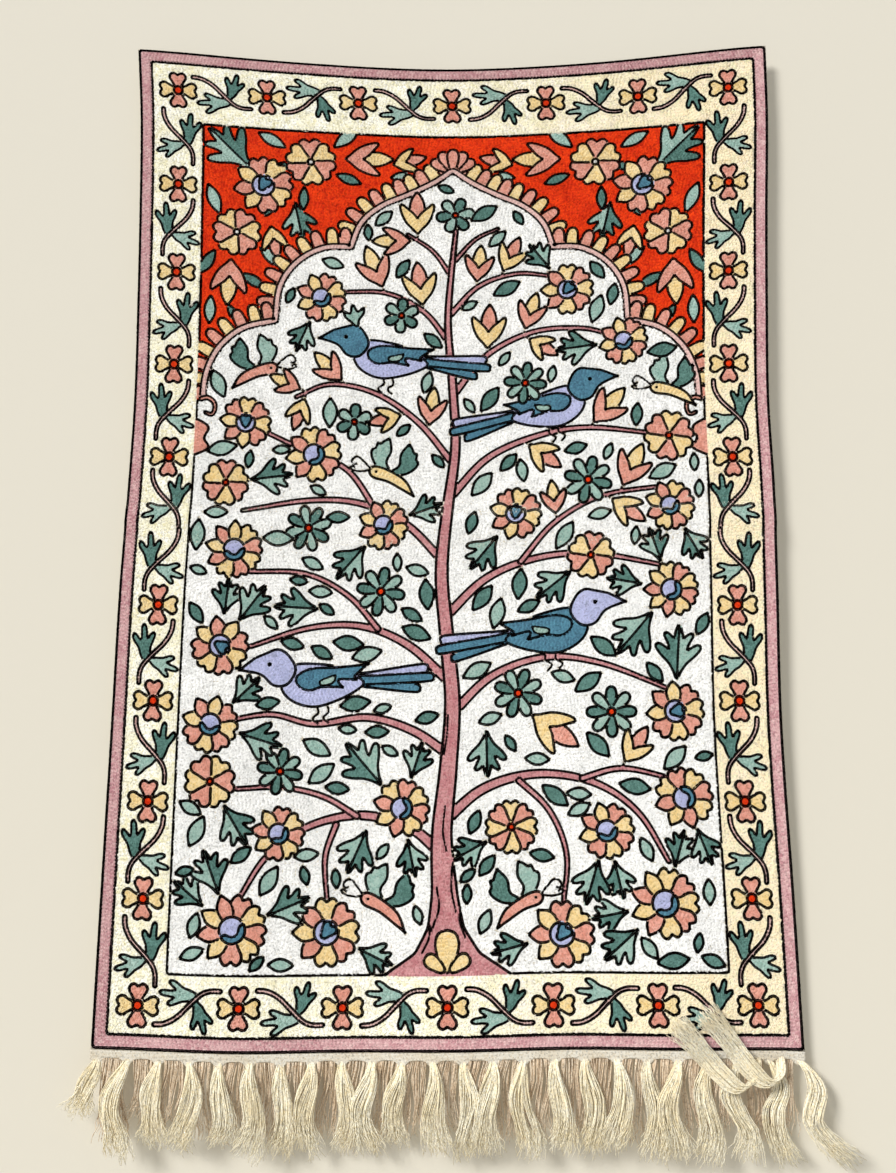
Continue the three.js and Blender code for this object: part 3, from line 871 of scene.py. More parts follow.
# %% Whirls in the grounds
SWIRL, RINGS, SCATTER, MARGIN, TO_END = 27.0, 13, 9, 2, 1.2
gx, gy = np.meshgrid(np.arange(-300, 301, SWIRL), np.arange(4, 928, SWIRL))
centres = np.stack([gx.ravel(), gy.ravel()], 1) + rng.uniform(-SCATTER, SCATTER, (gx.size, 2))
for k in range(RINGS):
    radius = (k + 0.5) * ROW_PITCH
    count = max(int(round(2 * np.pi * radius / STITCH)), 3)
    turn = np.linspace(0, 2 * np.pi, count, endpoint=False)
    out = np.stack([np.cos(turn), np.sin(turn)], 1)
    spots = (centres[:, None] + radius * out[None]).reshape(-1, 2)
    along = np.tile(square_to(out), (len(centres), 1))
    own = np.repeat(np.arange(len(centres)), count)
    off_middle = np.abs(spots - (0, CLOTH_DROP / 2))
    inside = (off_middle < (CLOTH_WIDTH / 2 - MARGIN, CLOTH_DROP / 2 - MARGIN)).all(1)
    spots, along, own = spots[inside], along[inside], own[inside]
    parts = np.array_split(spots, 1 + len(spots) // 4000)
    nearest = np.concatenate([((part[:, None] - centres[None])**2).sum(2).argmin(1) for part in parts])
    spots, along = spots[nearest == own], along[nearest == own]
    open_cells = ~covered[cells(spots)]
    for ground in grounds:
        ends = on_ground(spots + along * TO_END, ground) & on_ground(spots - along * TO_END, ground)
        fit = open_cells & on_ground(spots, ground) & ends
        lay(shapes[ground]["colour"], spots[fit], along[fit], STITCH * LAP, ROW_PITCH * LAP)
print("bare share after the whirls:", round(float((~covered & (ink == 0)).mean()), 3))

# %% [markdown]
# ## Filling the last gaps
# Where rows meet, slivers stay bare, and a maker would put single stitches into them. Each one is turned
# along its sliver. The direction comes from the spread of bare cells about it: running sums give their
# mean and variance in one pass, which is far quicker than looking at each sliver by itself.

# %% Single stitches in bare slivers
def box_sum(field, reach):
    """The sum over a square about each cell, as a difference of running sums at its corners."""
    total = np.pad(field, reach + 1).cumsum(0).cumsum(1)
    wide = 2 * reach + 1
    right, left = slice(wide, wide + NX), slice(0, NX)
    foot, top = slice(wide, wide + NY), slice(0, NY)
    return total[foot, right] - total[top, right] - total[foot, left] + total[top, left]


def patch(reach, least, block, length, width):
    """Lays one stitch in each block of bare cells, turned along the bare patch about it."""
    bare = (~covered) & (ink == 0)
    weight = bare.astype(float)
    yy, xx = np.mgrid[:NY, :NX].astype(float)
    n = np.maximum(box_sum(weight, reach), TINY)
    mean_x, mean_y = box_sum(weight * xx, reach) / n, box_sum(weight * yy, reach) / n
    spread_x = box_sum(weight * xx * xx, reach) / n - mean_x**2
    spread_y = box_sum(weight * yy * yy, reach) / n - mean_y**2
    both_ways = box_sum(weight * xx * yy, reach) / n - mean_x * mean_y
    iy, ix = np.nonzero(bare)
    key = (iy // block) * (NX // block + 1) + ix // block
    order = np.argsort(key, kind="stable")
    key, iy, ix = key[order], iy[order], ix[order]
    start = np.flatnonzero(np.r_[True, np.diff(key) > 0])
    size = np.diff(np.r_[start, len(key)])
    row = np.clip(np.round(np.add.reduceat(iy, start) / size).astype(int), 0, NY - 1)
    column = np.clip(np.round(np.add.reduceat(ix, start) / size).astype(int), 0, NX - 1)
    some = start + size // 2
    off = ~bare[row, column]
    row[off], column[off] = iy[some[off]], ix[some[off]]
    row, column = row[size >= least], column[size >= least]
    angle = 0.5 * np.arctan2(2 * both_ways[row, column], (spread_x - spread_y)[row, column])
    spots = np.stack([across[column], down[row]], 1)
    along = np.stack([np.cos(angle), np.sin(angle)], 1)
    home = region[row, column]
    for number in np.unique(home[home > 0]):
        mine = home == number
        lay(shapes[number]["colour"], spots[mine], along[mine], length, width)
    return len(row)


ROUNDS = [(4, 8, 5, 3.0, 2.1), (3, 4, 4, 2.4, 1.7), (2, 3, 3, 2.0, 1.5)]
for values in ROUNDS:
    print("single stitches laid:", patch(*values))
stitches = {colour: np.vstack(rows) for colour, rows in laid.items() if rows}
print("stitches in all:", sum(map(len, stitches.values())))

# %% [markdown]
# ## Hanging the cloth
# The cloth hangs from its top corners, so its top edge sags, its sides draw in, its hem swings a little
# and a faint fold crosses it where it was once put away. One function takes a flat place on the cloth to a
# place in space, and everything sewn on goes through it, so that stitches and cloth can't come apart.
# A cloth simulation would make folds too, but never the same ones as the photo's or as the solid's.

# %% From flat millimetres to metres in space
SIDE_PULL = np.array([
    (0, 0, 0), (74, 5.4, 0.4), (173, 8.6, 4.7), (269, 10.6, 8.1), (354, 11.6, 10.2),
    (439, 9.4, 8.1), (530, 5.9, 8.4), (650, 4.2, 9.3), (805, 1.7, 3.8), (928, 0, 0)])
TOP_SAG, SAG_SHAPE, SAG_FADE, HEM_SWING = 22.4, 1.2, 350.0, 3.6
RIPPLES = [(4.2, 470.0, 2600.0, 0.7), (2.0, 190.0, -1500.0, 2.0)]
FOLD_DOWN, FOLD_RISE, FOLD_WIDTH = 466.0, 1.6, 11.0


def from_table(drop, column):
    """A smooth value from the table, by a cubic through its rows with slopes from their neighbours."""
    x, y = SIDE_PULL[:, 0], SIDE_PULL[:, column]
    rise = np.r_[y[1:], y[-1]] - np.r_[y[0], y[:-1]]
    slope = rise / (np.r_[x[1:], x[-1]] - np.r_[x[0], x[:-1]])
    i = np.clip(np.searchsorted(x, drop, side="right") - 1, 0, len(x) - 2)
    span = x[i + 1] - x[i]
    u = np.clip((drop - x[i]) / span, 0, 1)
    keep = (1 + 2 * u) * (1 - u)**2
    bend = slope[i] * u * (1 - u)**2 - slope[i + 1] * u**2 * (1 - u)
    return y[i] * keep + y[i + 1] * (1 - keep) + span * bend


def ripple(s, t):
    """How far back the cloth lies: two slow slanting waves that grow downward, less a narrow raised fold."""
    depth = -FOLD_RISE * np.exp(-((t - FOLD_DOWN) / FOLD_WIDTH)**2)
    for swing, width, drift, start in RIPPLES:
        grown = swing * (0.15 + 0.85 * t / CLOTH_DROP)
        depth = depth + grown * np.sin(2 * np.pi * (s / width + t / drift) + start)
    return depth


def hang(s, t, forward):
    """Across, down and forward on flat cloth to space: drawn in at the sides, sagging at the top, rippled."""
    s, t, forward = np.broadcast_arrays(np.asarray(s, float), t, forward)
    on_cloth = np.clip(t, 0, CLOTH_DROP)
    side = np.clip(s / CLOTH_WIDTH + 0.5, 0, 1)
    pull = from_table(on_cloth, 1) * (1 - side) - from_table(on_cloth, 2) * side
    arc = np.maximum(np.cos(np.pi * s / CLOTH_WIDTH), 0)**SAG_SHAPE
    sag = TOP_SAG * arc * np.exp(-t / SAG_FADE)
    swing = HEM_SWING * np.sin(2 * np.pi * s / CLOTH_WIDTH) * (on_cloth / CLOTH_DROP)**2
    depth = ripple(s, on_cloth) - ripple(0.0, 0.0) - forward
    return np.stack([s + pull, depth, TOP_SAG - t - sag + swing], -1) / 1000


print("the middle of the hem hangs at", hang(0, CLOTH_DROP, 0).round(3), "m")

# %% [markdown]
# ## Faded wool
# Dyed wool fades unevenly: in broad patches, in fine specks, and from one length of thread to the next.
# The ivory ground also turns yellower and darker towards its right side, and dark specks of painted shade
# stand for the shadows between stitches. One shader group gives all of this to every thread: two noises and
# a value on each stitch mix its colour with a faded one, and a third noise darkens it in spots as that shade.
# Painted textures would need an unwrapped image, while noise over the object's own place needs none.
# Fine noise also lifts the fibres of the wool a little, and a second group does the same for the cotton's
# weave, which is too small to be worth any geometry.

# %% A shader group for mottled thread
GROUP_SOCKETS = [
    ("Thread", "Color", "INPUT"), ("Faded", "Color", "INPUT"), ("Tone", "Float", "INPUT"),
    ("Tinting", "Float", "INPUT"), ("Aged", "Color", "INPUT"), ("Colour", "Color", "OUTPUT"),
    ("Height", "Float", "OUTPUT")]
BROAD_PATCHES = (38.0, 0.42, 0.68, 0.50)
FINE_SPECKS = (560.0, 0.50, 0.63, 0.75)
# Fine dark specks of painted shade, standing for the shadows between the stitches.
PAINTED_STITCH_SHADE = (640.0, 0.53, 0.66, 0.34)
# Where the yellower, darker tint towards the right begins and where it is full.
TINT_START, TINT_FULL = -0.02, 0.22
FIBRE_SCALE = 1300.0


def mix_towards(tree, colour, goal, amount):
    """One colour moved towards another by an amount from 0 to 1."""
    mix = tree.nodes.new("ShaderNodeMix")
    mix.data_type = "RGBA"
    for socket, index in ((amount, 0), (colour, 6), (goal, 7)):
        tree.links.new(socket, mix.inputs[index])
    return mix.outputs[2]


def product(tree, first, second):
    """Two amounts multiplied."""
    times = tree.nodes.new("ShaderNodeMath")
    times.operation = "MULTIPLY"
    tree.links.new(first, times.inputs[0])
    tree.links.new(second, times.inputs[1])
    return times.outputs["Value"]


def map_range(tree, value, low, high, share=1.0):
    """A value between two limits turned into 0 to a share."""
    ramp = tree.nodes.new("ShaderNodeMapRange")
    ramp.inputs["From Min"].default_value, ramp.inputs["From Max"].default_value = low, high
    ramp.inputs["To Max"].default_value = share
    tree.links.new(value, ramp.inputs["Value"])
    return ramp.outputs["Result"]


def noise_at(tree, spot, scale):
    """Smooth noise over a place, from 0 to 1."""
    noise = tree.nodes.new("ShaderNodeTexNoise")
    noise.inputs["Scale"].default_value = scale
    noise.inputs["Detail"].default_value = 2.0
    tree.links.new(spot, noise.inputs["Vector"])
    return noise.outputs["Fac"]


def mottle_group():
    """Thread faded by two noises and its tone, tinted to the right and specked with painted shade, and its
    fibres' height.
    """
    tree = bpy.data.node_groups.new("thread_mottle", "ShaderNodeTree")
    for name, kind, way in GROUP_SOCKETS:
        tree.interface.new_socket(name, in_out=way, socket_type="NodeSocket" + kind)
    start, end = tree.nodes.new("NodeGroupInput"), tree.nodes.new("NodeGroupOutput")
    spot = tree.nodes.new("ShaderNodeTexCoord").outputs["Object"]
    colour, faded = start.outputs["Thread"], start.outputs["Faded"]
    for scale, low, high, share in (BROAD_PATCHES, FINE_SPECKS):
        amount = map_range(tree, noise_at(tree, spot, scale), low, high, share)
        colour = mix_towards(tree, colour, faded, amount)
    parts = tree.nodes.new("ShaderNodeSeparateXYZ")
    tree.links.new(spot, parts.inputs["Vector"])
    # A share that grows towards the right mixes in a yellower, darker tint.
    far_right = map_range(tree, parts.outputs["X"], TINT_START, TINT_FULL)
    tinting = product(tree, far_right, start.outputs["Tinting"])
    colour = mix_towards(tree, colour, start.outputs["Aged"], tinting)
    colour = mix_towards(tree, colour, faded, start.outputs["Tone"])
    # Painted shade: a third noise darkens the thread towards black in fine specks, for shadows between
    # stitches.
    scale, low, high, share = PAINTED_STITCH_SHADE
    shade = tree.nodes.new("ShaderNodeRGB")
    shade.outputs["Color"].default_value = (0, 0, 0, 1)
    painted_shade = map_range(tree, noise_at(tree, spot, scale), low, high, share)
    tree.links.new(mix_towards(tree, colour, shade.outputs["Color"], painted_shade), end.inputs["Colour"])
    tree.links.new(noise_at(tree, spot, FIBRE_SCALE), end.inputs["Height"])
    return tree


MOTTLE = mottle_group()
print("shader group", MOTTLE.name, "with", len(MOTTLE.nodes), "nodes")

# %% A shader group for woven cotton
WEAVE_PITCH = 0.0011
WAVE_LENGTH = np.pi / 10


def weave_group():
    """Threads over and under: a wave across times a wave down, so that each crossing stands out."""
    tree = bpy.data.node_groups.new("cotton_weave", "ShaderNodeTree")
    tree.interface.new_socket("Height", in_out="OUTPUT", socket_type="NodeSocketFloat")
    spot = tree.nodes.new("ShaderNodeTexCoord").outputs["Object"]
    waves = []
    for direction in "XZ":
        wave = tree.nodes.new("ShaderNodeTexWave")
        wave.bands_direction = direction
        wave.inputs["Scale"].default_value = WAVE_LENGTH / WEAVE_PITCH
        wave.inputs["Distortion"].default_value = 0.6
        tree.links.new(spot, wave.inputs["Vector"])
        waves.append(wave.outputs["Fac"])
    end = tree.nodes.new("NodeGroupOutput")
    tree.links.new(product(tree, *waves), end.inputs["Height"])
    return tree


WEAVE = weave_group()
print("shader group", WEAVE.name, "with a thread every", WEAVE_PITCH * 1000, "mm")

# %% Materials of thread and cotton
# The yellower, darker tint that the ivory takes towards its right side.
RIGHT_TINT = (0.88, 0.66, 0.34)
WOOL_SHEEN, WOOL_ROUGHNESS = 0.15, 0.9
FIBRE_DEPTH, WEAVE_DEPTH = 0.0003, 0.0006


def material(name, colour, faded, specular=WOOL_SHEEN, tinting=0.0, woven=False):
    """A matt material mottled between its colour and a faded one, bumped by its fibres or by its weave."""
    m = bpy.data.materials.new(name)
    m.use_nodes = True
    nodes, links = m.node_tree.nodes, m.node_tree.links
    surface = nodes["Principled BSDF"]
    surface.inputs["Roughness"].default_value = WOOL_ROUGHNESS
    surface.inputs["Specular IOR Level"].default_value = specular
    mottle, weave = nodes.new("ShaderNodeGroup"), nodes.new("ShaderNodeGroup")
    mottle.node_tree, weave.node_tree = MOTTLE, WEAVE
    for socket, value in (("Thread", colour), ("Faded", faded), ("Aged", RIGHT_TINT)):
        mottle.inputs[socket].default_value = (*value, 1)
    mottle.inputs["Tinting"].default_value = tinting
    tone, bump = nodes.new("ShaderNodeAttribute"), nodes.new("ShaderNodeBump")
    tone.attribute_name = "tone"
    bump.inputs["Distance"].default_value = WEAVE_DEPTH if woven else FIBRE_DEPTH
    links.new(tone.outputs["Fac"], mottle.inputs["Tone"])
    links.new(mottle.outputs["Colour"], surface.inputs["Base Color"])
    links.new((weave if woven else mottle).outputs["Height"], bump.inputs["Height"])
    links.new(bump.outputs["Normal"], surface.inputs["Normal"])
    return m


# %% [markdown]
# ## From arrays to meshes
# Nearly eighty thousand stitches are too many to build one call at a time. numpy works out all points and
# faces together, and foreach_set hands each array to the mesh in one go. Each mesh also gets a front-on
# map that fills the square, for baking its colour later.

# %% A mesh from arrays
def add_mesh(name, points, faces, finish, bake_map=True, tone=None, rounded=True):
    """A mesh whose map is each point's place across and up its own box, with a tone on each point."""
    mesh = bpy.data.meshes.new(name)
    mesh.vertices.add(len(points))
    mesh.vertices.foreach_set("co", points.astype(np.float32).ravel())
    mesh.loops.add(faces.size)
    mesh.loops.foreach_set("vertex_index", faces.astype(np.int32).ravel())
    mesh.polygons.add(len(faces))
    mesh.polygons.foreach_set("loop_start", np.arange(0, faces.size, faces.shape[1], dtype=np.int32))
    mesh.polygons.foreach_set("loop_total", np.full(len(faces), faces.shape[1], np.int32))
    mesh.update(calc_edges=True)
    mesh.validate()
    if rounded:
        mesh.shade_smooth()
    else:
        mesh.shade_flat()
    if tone is not None:
        mesh.attributes.new("tone", "FLOAT", "POINT").data.foreach_set("value", tone.astype(np.float32))
    if bake_map:
        flat = points[:, [0, 2]]
        low, high = flat.min(0), flat.max(0)
        uv = ((flat - low) / (high - low))[faces.ravel()]
        mesh.uv_layers.new(name="OFBake").data.foreach_set("uv", uv.astype(np.float32).ravel())
    mesh.materials.append(finish)
    thing = bpy.data.objects.new(name, mesh)
    bpy.context.collection.objects.link(thing)
    return thing


# %% [markdown]
# ## A stitch
# A chain stitch shows two plump legs that lean together, and a row of them looks like a braid. Each stitch
# here is two low pyramids side by side, skewed along the row in opposite ways: eight points and eight
# triangles. A round tube would need five times as many, for a thing that is three millimetres long.
# Chance turns, sizes and lifts each one a little, as hands do.

# %% Stitches of one colour
STITCH_FOOT, STITCH_TOP, INK_TOP = 0.30, 1.30, 1.55
SKEW, OVERLAP, TURN_SPREAD = 0.24, 1.13, 0.06
SIZES_FROM_TO, HEIGHTS_FROM_TO = (0.96, 1.06), (0.86, 1.04)
LEG_ALONG = np.array([-1 - SKEW, 1 - SKEW, 1 + SKEW, SKEW - 1, 1 + SKEW, SKEW - 1, 0, 0]) / 2
LEG_ASIDE = np.array([0, 0, 0.5, 0.5, -0.5, -0.5, 0.25, -0.25])
LEG_TOPS = np.array([0, 0, 0, 0, 0, 0, 1, 1], bool)
LEG_FACES = np.array([(0, 1, 6), (1, 2, 6), (2, 3, 6), (3, 0, 6), (1, 0, 7), (0, 5, 7), (5, 4, 7), (4, 1, 7)])


def stitch_mesh(name, rows, top, finish, seed, under=None):
    """Two leaning pyramids for each stitch, stood on the cloth; flat strips of thread may go under them."""
    chance = np.random.default_rng(seed)
    n = len(rows)
    middle, along, size = rows[:, :2], rows[:, 2:4], rows[:, 4:]
    turn = chance.normal(0, TURN_SPREAD, n)[:, None]
    along = along * np.cos(turn) + square_to(along) * np.sin(turn)
    aside = square_to(along)
    size = size * OVERLAP * chance.uniform(*SIZES_FROM_TO, (n, 2))
    height = top * chance.uniform(*HEIGHTS_FROM_TO, n)
    tone = np.repeat(chance.uniform(0, 1, n)**3, 8)
    flat = (middle[:, None] + along[:, None] * (LEG_ALONG[None, :, None] * size[:, :1, None])
            + aside[:, None] * (LEG_ASIDE[None, :, None] * size[:, 1:, None]))
    points = hang(flat[..., 0], flat[..., 1], np.where(LEG_TOPS[None], height[:, None], STITCH_FOOT))
    points = points.reshape(-1, 3)
    one = LEG_FACES
    a, b, c = points[one[0]]
    if np.cross(b - a, c - a)[1] > 0:
        one = one[:, ::-1]
    faces = (np.arange(n)[:, None, None] * 8 + one[None]).reshape(-1, 3)
    if under is not None:
        first = len(points) + 4 * np.arange(len(under))
        faces = np.vstack([faces, first[:, None] + (0, 1, 2), first[:, None] + (0, 2, 3)])
        points = np.vstack([points, under.reshape(-1, 3)])
        tone = np.r_[tone, np.full(4 * len(under), 0.5)]
    return add_mesh(name, points, faces, finish, tone=tone, rounded=False)


# %% [markdown]
# ## Thread under the stitches
# Wool spreads as it lies, so that bare canvas hardly shows in the coloured parts. Wider stitches would hide
# the canvas too, but would blur into each other. So flat strips of the same thread go under them, cut from
# every third cell of the chart, for every colour but white, ivory and black.

# %% Flat strips under one colour
STRIP, STRIP_RUN, STRIP_LEVEL, STRIP_INSET = 3, 6, 0.36, 0.4
HALF_CLOTH = CLOTH_WIDTH / 2


def underlay(colour):
    """Runs of a colour's cells along each row of a coarser chart, as quads a little above the canvas."""
    number = np.array([-1 if shape is None else COLOURS.index(shape["colour"]) for shape in shapes])
    chart = number[region[STRIP // 2::STRIP, STRIP // 2::STRIP]] == COLOURS.index(colour)
    padded = np.pad(chart, ((0, 0), (1, 1)))
    starts = np.argwhere(padded[:, 1:] & ~padded[:, :-1])
    ends = np.argwhere(~padded[:, 1:] & padded[:, :-1])
    strips = [(row, a, min(a + STRIP_RUN, b)) for (row, first), (_, b) in zip(starts, ends)
              for a in range(first, b, STRIP_RUN)]
    row, a, b = np.array(strips).T * STRIP * CELL
    s = np.stack([a, a, b, b], 1) - HALF_CLOTH
    t = np.stack([row, row + STRIP * CELL, row + STRIP * CELL, row], 1)
    s = np.clip(s, STRIP_INSET - HALF_CLOTH, HALF_CLOTH - STRIP_INSET)
    return hang(s, np.clip(t, STRIP_INSET, CLOTH_DROP - STRIP_INSET), STRIP_LEVEL)


# %% Sewing every colour
FADES = {
    "black": (0.004, 0.003, 0.003), "white": (0.77, 0.775, 0.775), "ivory": (0.88, 0.84, 0.61),
    "red": (0.60, 0.026, 0.004), "mauve": (0.74, 0.52, 0.52), "pink": (0.64, 0.28, 0.21),
    "yellow": (0.80, 0.60, 0.27), "fir": (0.15, 0.30, 0.27), "sage": (0.44, 0.58, 0.53),
    "blue": (0.11, 0.29, 0.40), "lilac": (0.42, 0.45, 0.66), "bark": (0.50, 0.20, 0.22),
    "blush": (0.72, 0.49, 0.46),
}
PIECE_STITCHES, FIRST_SEED = 24000, 100
BARE_UNDER = ("white", "ivory", "black")
SHEENS, TINT_SHARES = {"black": 0.0}, {"ivory": 0.46}
sewn = []
for k, (colour, rows) in enumerate(stitches.items()):
    parts = np.array_split(rows[np.argsort(rows[:, 1], kind="stable")], 1 + len(rows) // PIECE_STITCHES)
    wool = material("wool_" + colour, THREADS[colour], FADES[colour],
                    SHEENS.get(colour, WOOL_SHEEN), TINT_SHARES.get(colour, 0.0))
    for p, part in enumerate(parts):
        name = "stitches_" + colour + ("_" + "ab"[p] if len(parts) > 1 else "")
        under = underlay(colour) if p == 0 and colour not in BARE_UNDER else None
        top = INK_TOP if colour == "black" else STITCH_TOP
        sewn.append(stitch_mesh(name, part, top, wool, FIRST_SEED + k + p, under))
print("pieces of stitching:", len(sewn))

# %% [markdown]
# ## The cotton cloth
# Under the wool lies plain cotton, which shows at the rim and at the back. It is one closed sheet: a grid
# for its face, the same grid turned over for its back, and a rim that joins them. The Solidify modifier
# would do this too, but here the thickness has to follow the solid's exactly.

# %% A closed sheet from a grid
CANVAS_BACK, CANVAS_FRONT = -1.4, 0.32


def grid_faces(rows, columns):
    """Quads over a grid of points counted row by row."""
    corner = np.arange(rows - 1)[:, None] * columns + np.arange(columns - 1)[None]
    return np.stack([corner, corner + columns, corner + columns + 1, corner + 1], -1).reshape(-1, 4)


def closed_sheet(name, s, t, front, back, finish):
    """A sheet over a grid of places across and down the cloth: its face, its back and the rim between."""
    rows, columns = s.shape
    n = s.size
    points = np.vstack([hang(s, t, front).reshape(-1, 3), hang(s, t, back).reshape(-1, 3)])
    face = grid_faces(rows, columns)
    index = np.arange(n).reshape(rows, columns)
    rim = np.concatenate([index[0, :-1], index[:-1, -1], index[-1, :0:-1], index[:0:-1, 0]])
    after = np.roll(rim, -1)
    around = np.stack([rim, after, after + n, rim + n], 1)
    return add_mesh(name, points, np.vstack([face, face[:, ::-1] + n, around]), finish)


CANVAS_COLUMNS, CANVAS_ROWS = 62, 94
s, t = np.meshgrid(np.linspace(-HALF_CLOTH, HALF_CLOTH, CANVAS_COLUMNS),
                   np.linspace(0, CLOTH_DROP, CANVAS_ROWS))
plain_cotton = material("plain_cotton", (0.76, 0.71, 0.60), (0.62, 0.55, 0.42), woven=True)
canvas = closed_sheet("cotton_canvas", s, t, CANVAS_FRONT, CANVAS_BACK, plain_cotton)
print("the canvas has", len(canvas.data.polygons), "faces")

# %% [markdown]
# ## Yarn for the fringe
# The fringe is cotton yarn, knotted at the hem in thick tassels with smaller ones behind them. Each tassel
# is a few strands from one neck, and each strand is many yarns, slightly twisted and loose at the tip.
# Blender's hair system would draw such yarn, but hair isn't a mesh and can't be handed on with the part.
# So each yarn is a path of points on the cloth's own terms: across, down and forward.

# %% Small helpers for paths
TASSELS, END_INSET, PIECE_GAP, TAPE_HEIGHT, TAPE_DIP = 24, 6.0, 0.3, 6.0, 5.5
PITCH = (CLOTH_WIDTH - 2 * END_INSET) / (TASSELS - 1)
ROOT_DEPTH = 2.5
ROOT_LEVEL = CLOTH_DROP + PIECE_GAP + TAPE_HEIGHT + TAPE_DIP - 2 * ROOT_DEPTH


def fixed_chance(tassel, purpose):
    """The same uneven fraction that the solid model takes for a tassel: the loose end of a large sine."""
    wave = np.sin(tassel * 12.9898 + purpose * 78.233) * 43758.5453
    return wave - np.floor(wave)


def ease(x):
    """0 to 1 with level ends: three squares less two cubes."""
    x = np.clip(x, 0, 1)
    return x * x * (3 - 2 * x)


def through(points, count):
    """A smooth line through the points, as so many points an equal way apart."""
    line = smooth(points, closed=False)
    gone = length_gone(line)
    return points_at(np.linspace(0, gone[-1], count), gone, line)


def tassel_place(tassel):
    """How far across the cloth a tassel hangs: even steps between the two ends."""
    return -CLOTH_WIDTH / 2 + END_INSET + tassel * PITCH


print("a tassel every", round(PITCH, 1), "mm")

# %% The yarns of one strand
TWIST, FLATTENING = 0.45, 0.62
FULL_FROM, LOOSE_FROM, LOOSE_POWER = 0.22, 0.55, 1.7
NECK_CRIMP, TIP_CRIMP = 0.14, 1.5


def strand_yarns(chance, u, middle, yarns, thick, splay, tip_reach, neck):
    """Yarns round a strand's middle: drawn in at the neck, slightly twisted, loose and wavy at the tip."""
    angle = chance.uniform(0, 2 * np.pi, (yarns, 1)) + 2 * np.pi * TWIST * u
    out = np.sqrt(chance.uniform(0, 1, (yarns, 1)))
    loose = np.clip((u - LOOSE_FROM) / (1 - LOOSE_FROM), 0, 1)**LOOSE_POWER
    wide = out * (thick * (neck + (1 - neck) * ease(u / FULL_FROM)) + splay * loose)
    wave, phase = chance.uniform(4, 8, (yarns, 1)), chance.uniform(0, 2 * np.pi, (yarns, 2))
    crimp = NECK_CRIMP + TIP_CRIMP * loose
    s = middle[0] + wide * np.cos(angle) + crimp * np.sin(2 * np.pi * u * wave + phase[:, :1])
    t = middle[1] + (chance.uniform(-1, 0.5, (yarns, 1)) * tip_reach) * u**3
    ahead = FLATTENING * wide * np.sin(angle) + 0.5 * crimp * np.sin(2 * np.pi * u * wave + phase[:, 1:])
    return np.stack([s, t, middle[2] + ahead], -1)


# %% Tubes along the paths
def tubes(name, paths, radius, finish, tone):
    """Three-sided yarns: a ring of three points square to the path at each of its points, and closed ends."""
    n, k = paths.shape[:2]
    centre = hang(paths[..., 0], paths[..., 1], paths[..., 2])
    along = np.gradient(centre, axis=1)
    along /= np.linalg.norm(along, axis=2, keepdims=True)
    side = np.cross(along, np.array([0.0, 1.0, 0.0]))
    side /= np.maximum(np.linalg.norm(side, axis=2, keepdims=True), TINY)
    other = np.cross(along, side)
    turn = np.arange(3) * 2 * np.pi / 3
    ring = (side[:, :, None] * np.cos(turn)[None, None, :, None]
            + other[:, :, None] * np.sin(turn)[None, None, :, None])
    points = centre[:, :, None] + ring * (radius / 1000)[..., None, None]
    index = np.arange(n * k * 3).reshape(n, k, 3)
    a, b = index[:, :-1], index[:, 1:]
    quads = np.stack([a, np.roll(a, -1, 2), np.roll(b, -1, 2), b], -1).reshape(-1, 4)
    caps = np.vstack([index[:, 0, ::-1], index[:, -1]])
    triangles = np.vstack([quads[:, [0, 1, 2]], quads[:, [0, 2, 3]], caps])
    return add_mesh(name, points.reshape(-1, 3), triangles, finish, tone=np.repeat(tone.ravel(), 3))


def taper(paths, radius):
    """A yarn's radius along its length: whole at the root, under half at the tip."""
    return np.broadcast_to(radius * np.linspace(1.0, 0.42, paths.shape[1]), paths.shape[:2])


def yarn_tone(chance, paths, most):
    """Each yarn's own shade, fading out towards its pale tip."""
    share = np.linspace(1.0, 0.25, paths.shape[1])[None]
    return most * chance.uniform(0, 1, (len(paths), 1))**2 * share


# %% [markdown]
# ## Two rows of tassels
# The pale front tassels hang in curves and cross each other, and the shorter tan ones fill the gaps behind.
# Each takes its length and lean from the same chance as the solid's tassels, so that the two agree.
# Five tassels at the ends of the real fringe bend in their own ways, and these follow listed points.

# %% One row of tassels
FRONT = {
    "length": (66, 76), "vary": 5, "lean": 6, "bulge": 3, "sway": (2.4, 5.6), "apart": 5.7, "gather": 0.26,
    "layers": ((1.8, 5.2), (6.2, 9.6)), "knots": 15, "yarns": 24, "thick": 3.3}
BACK = {
    "length": (58, 62), "vary": 7, "lean": 4, "bulge": 2, "sway": (1.6, 2.4), "apart": 7.0, "gather": 0.85,
    "layers": ((-2.0, -0.8), (-4.4, -2.8)), "knots": 12, "yarns": 12, "thick": 3.1}
BENT = {
    0: [(0, 0), (-3, 10), (-7, 22), (-11, 33), (-14, 43)],
    1: [(0, 0), (-6, 12), (-12, 26), (-12, 42), (-6, 58), (-2, 74)],
    21: [(0, 0), (-6, 12), (-10, 28), (-3, 44), (5, 58), (4, 78)],
    22: [(0, 0), (7, 10), (10, 24), (2, 40), (3, 58), (14, 80)],
    23: [(0, 0), (9, 9), (14, 22), (10, 38), (9, 50), (22, 64), (36, 76)],
}
STRANDS, SPLAY, TIP_REACH = 3, 4.6, 9.0
CURL, NOD, GATHER_END, FAN = 1.5, 1.4, 0.45, 0.30


def either_way(tassel, purpose, most):
    """A tassel's own chance amount between minus and plus a limit."""
    return most * (2 * fixed_chance(tassel, purpose) - 1)


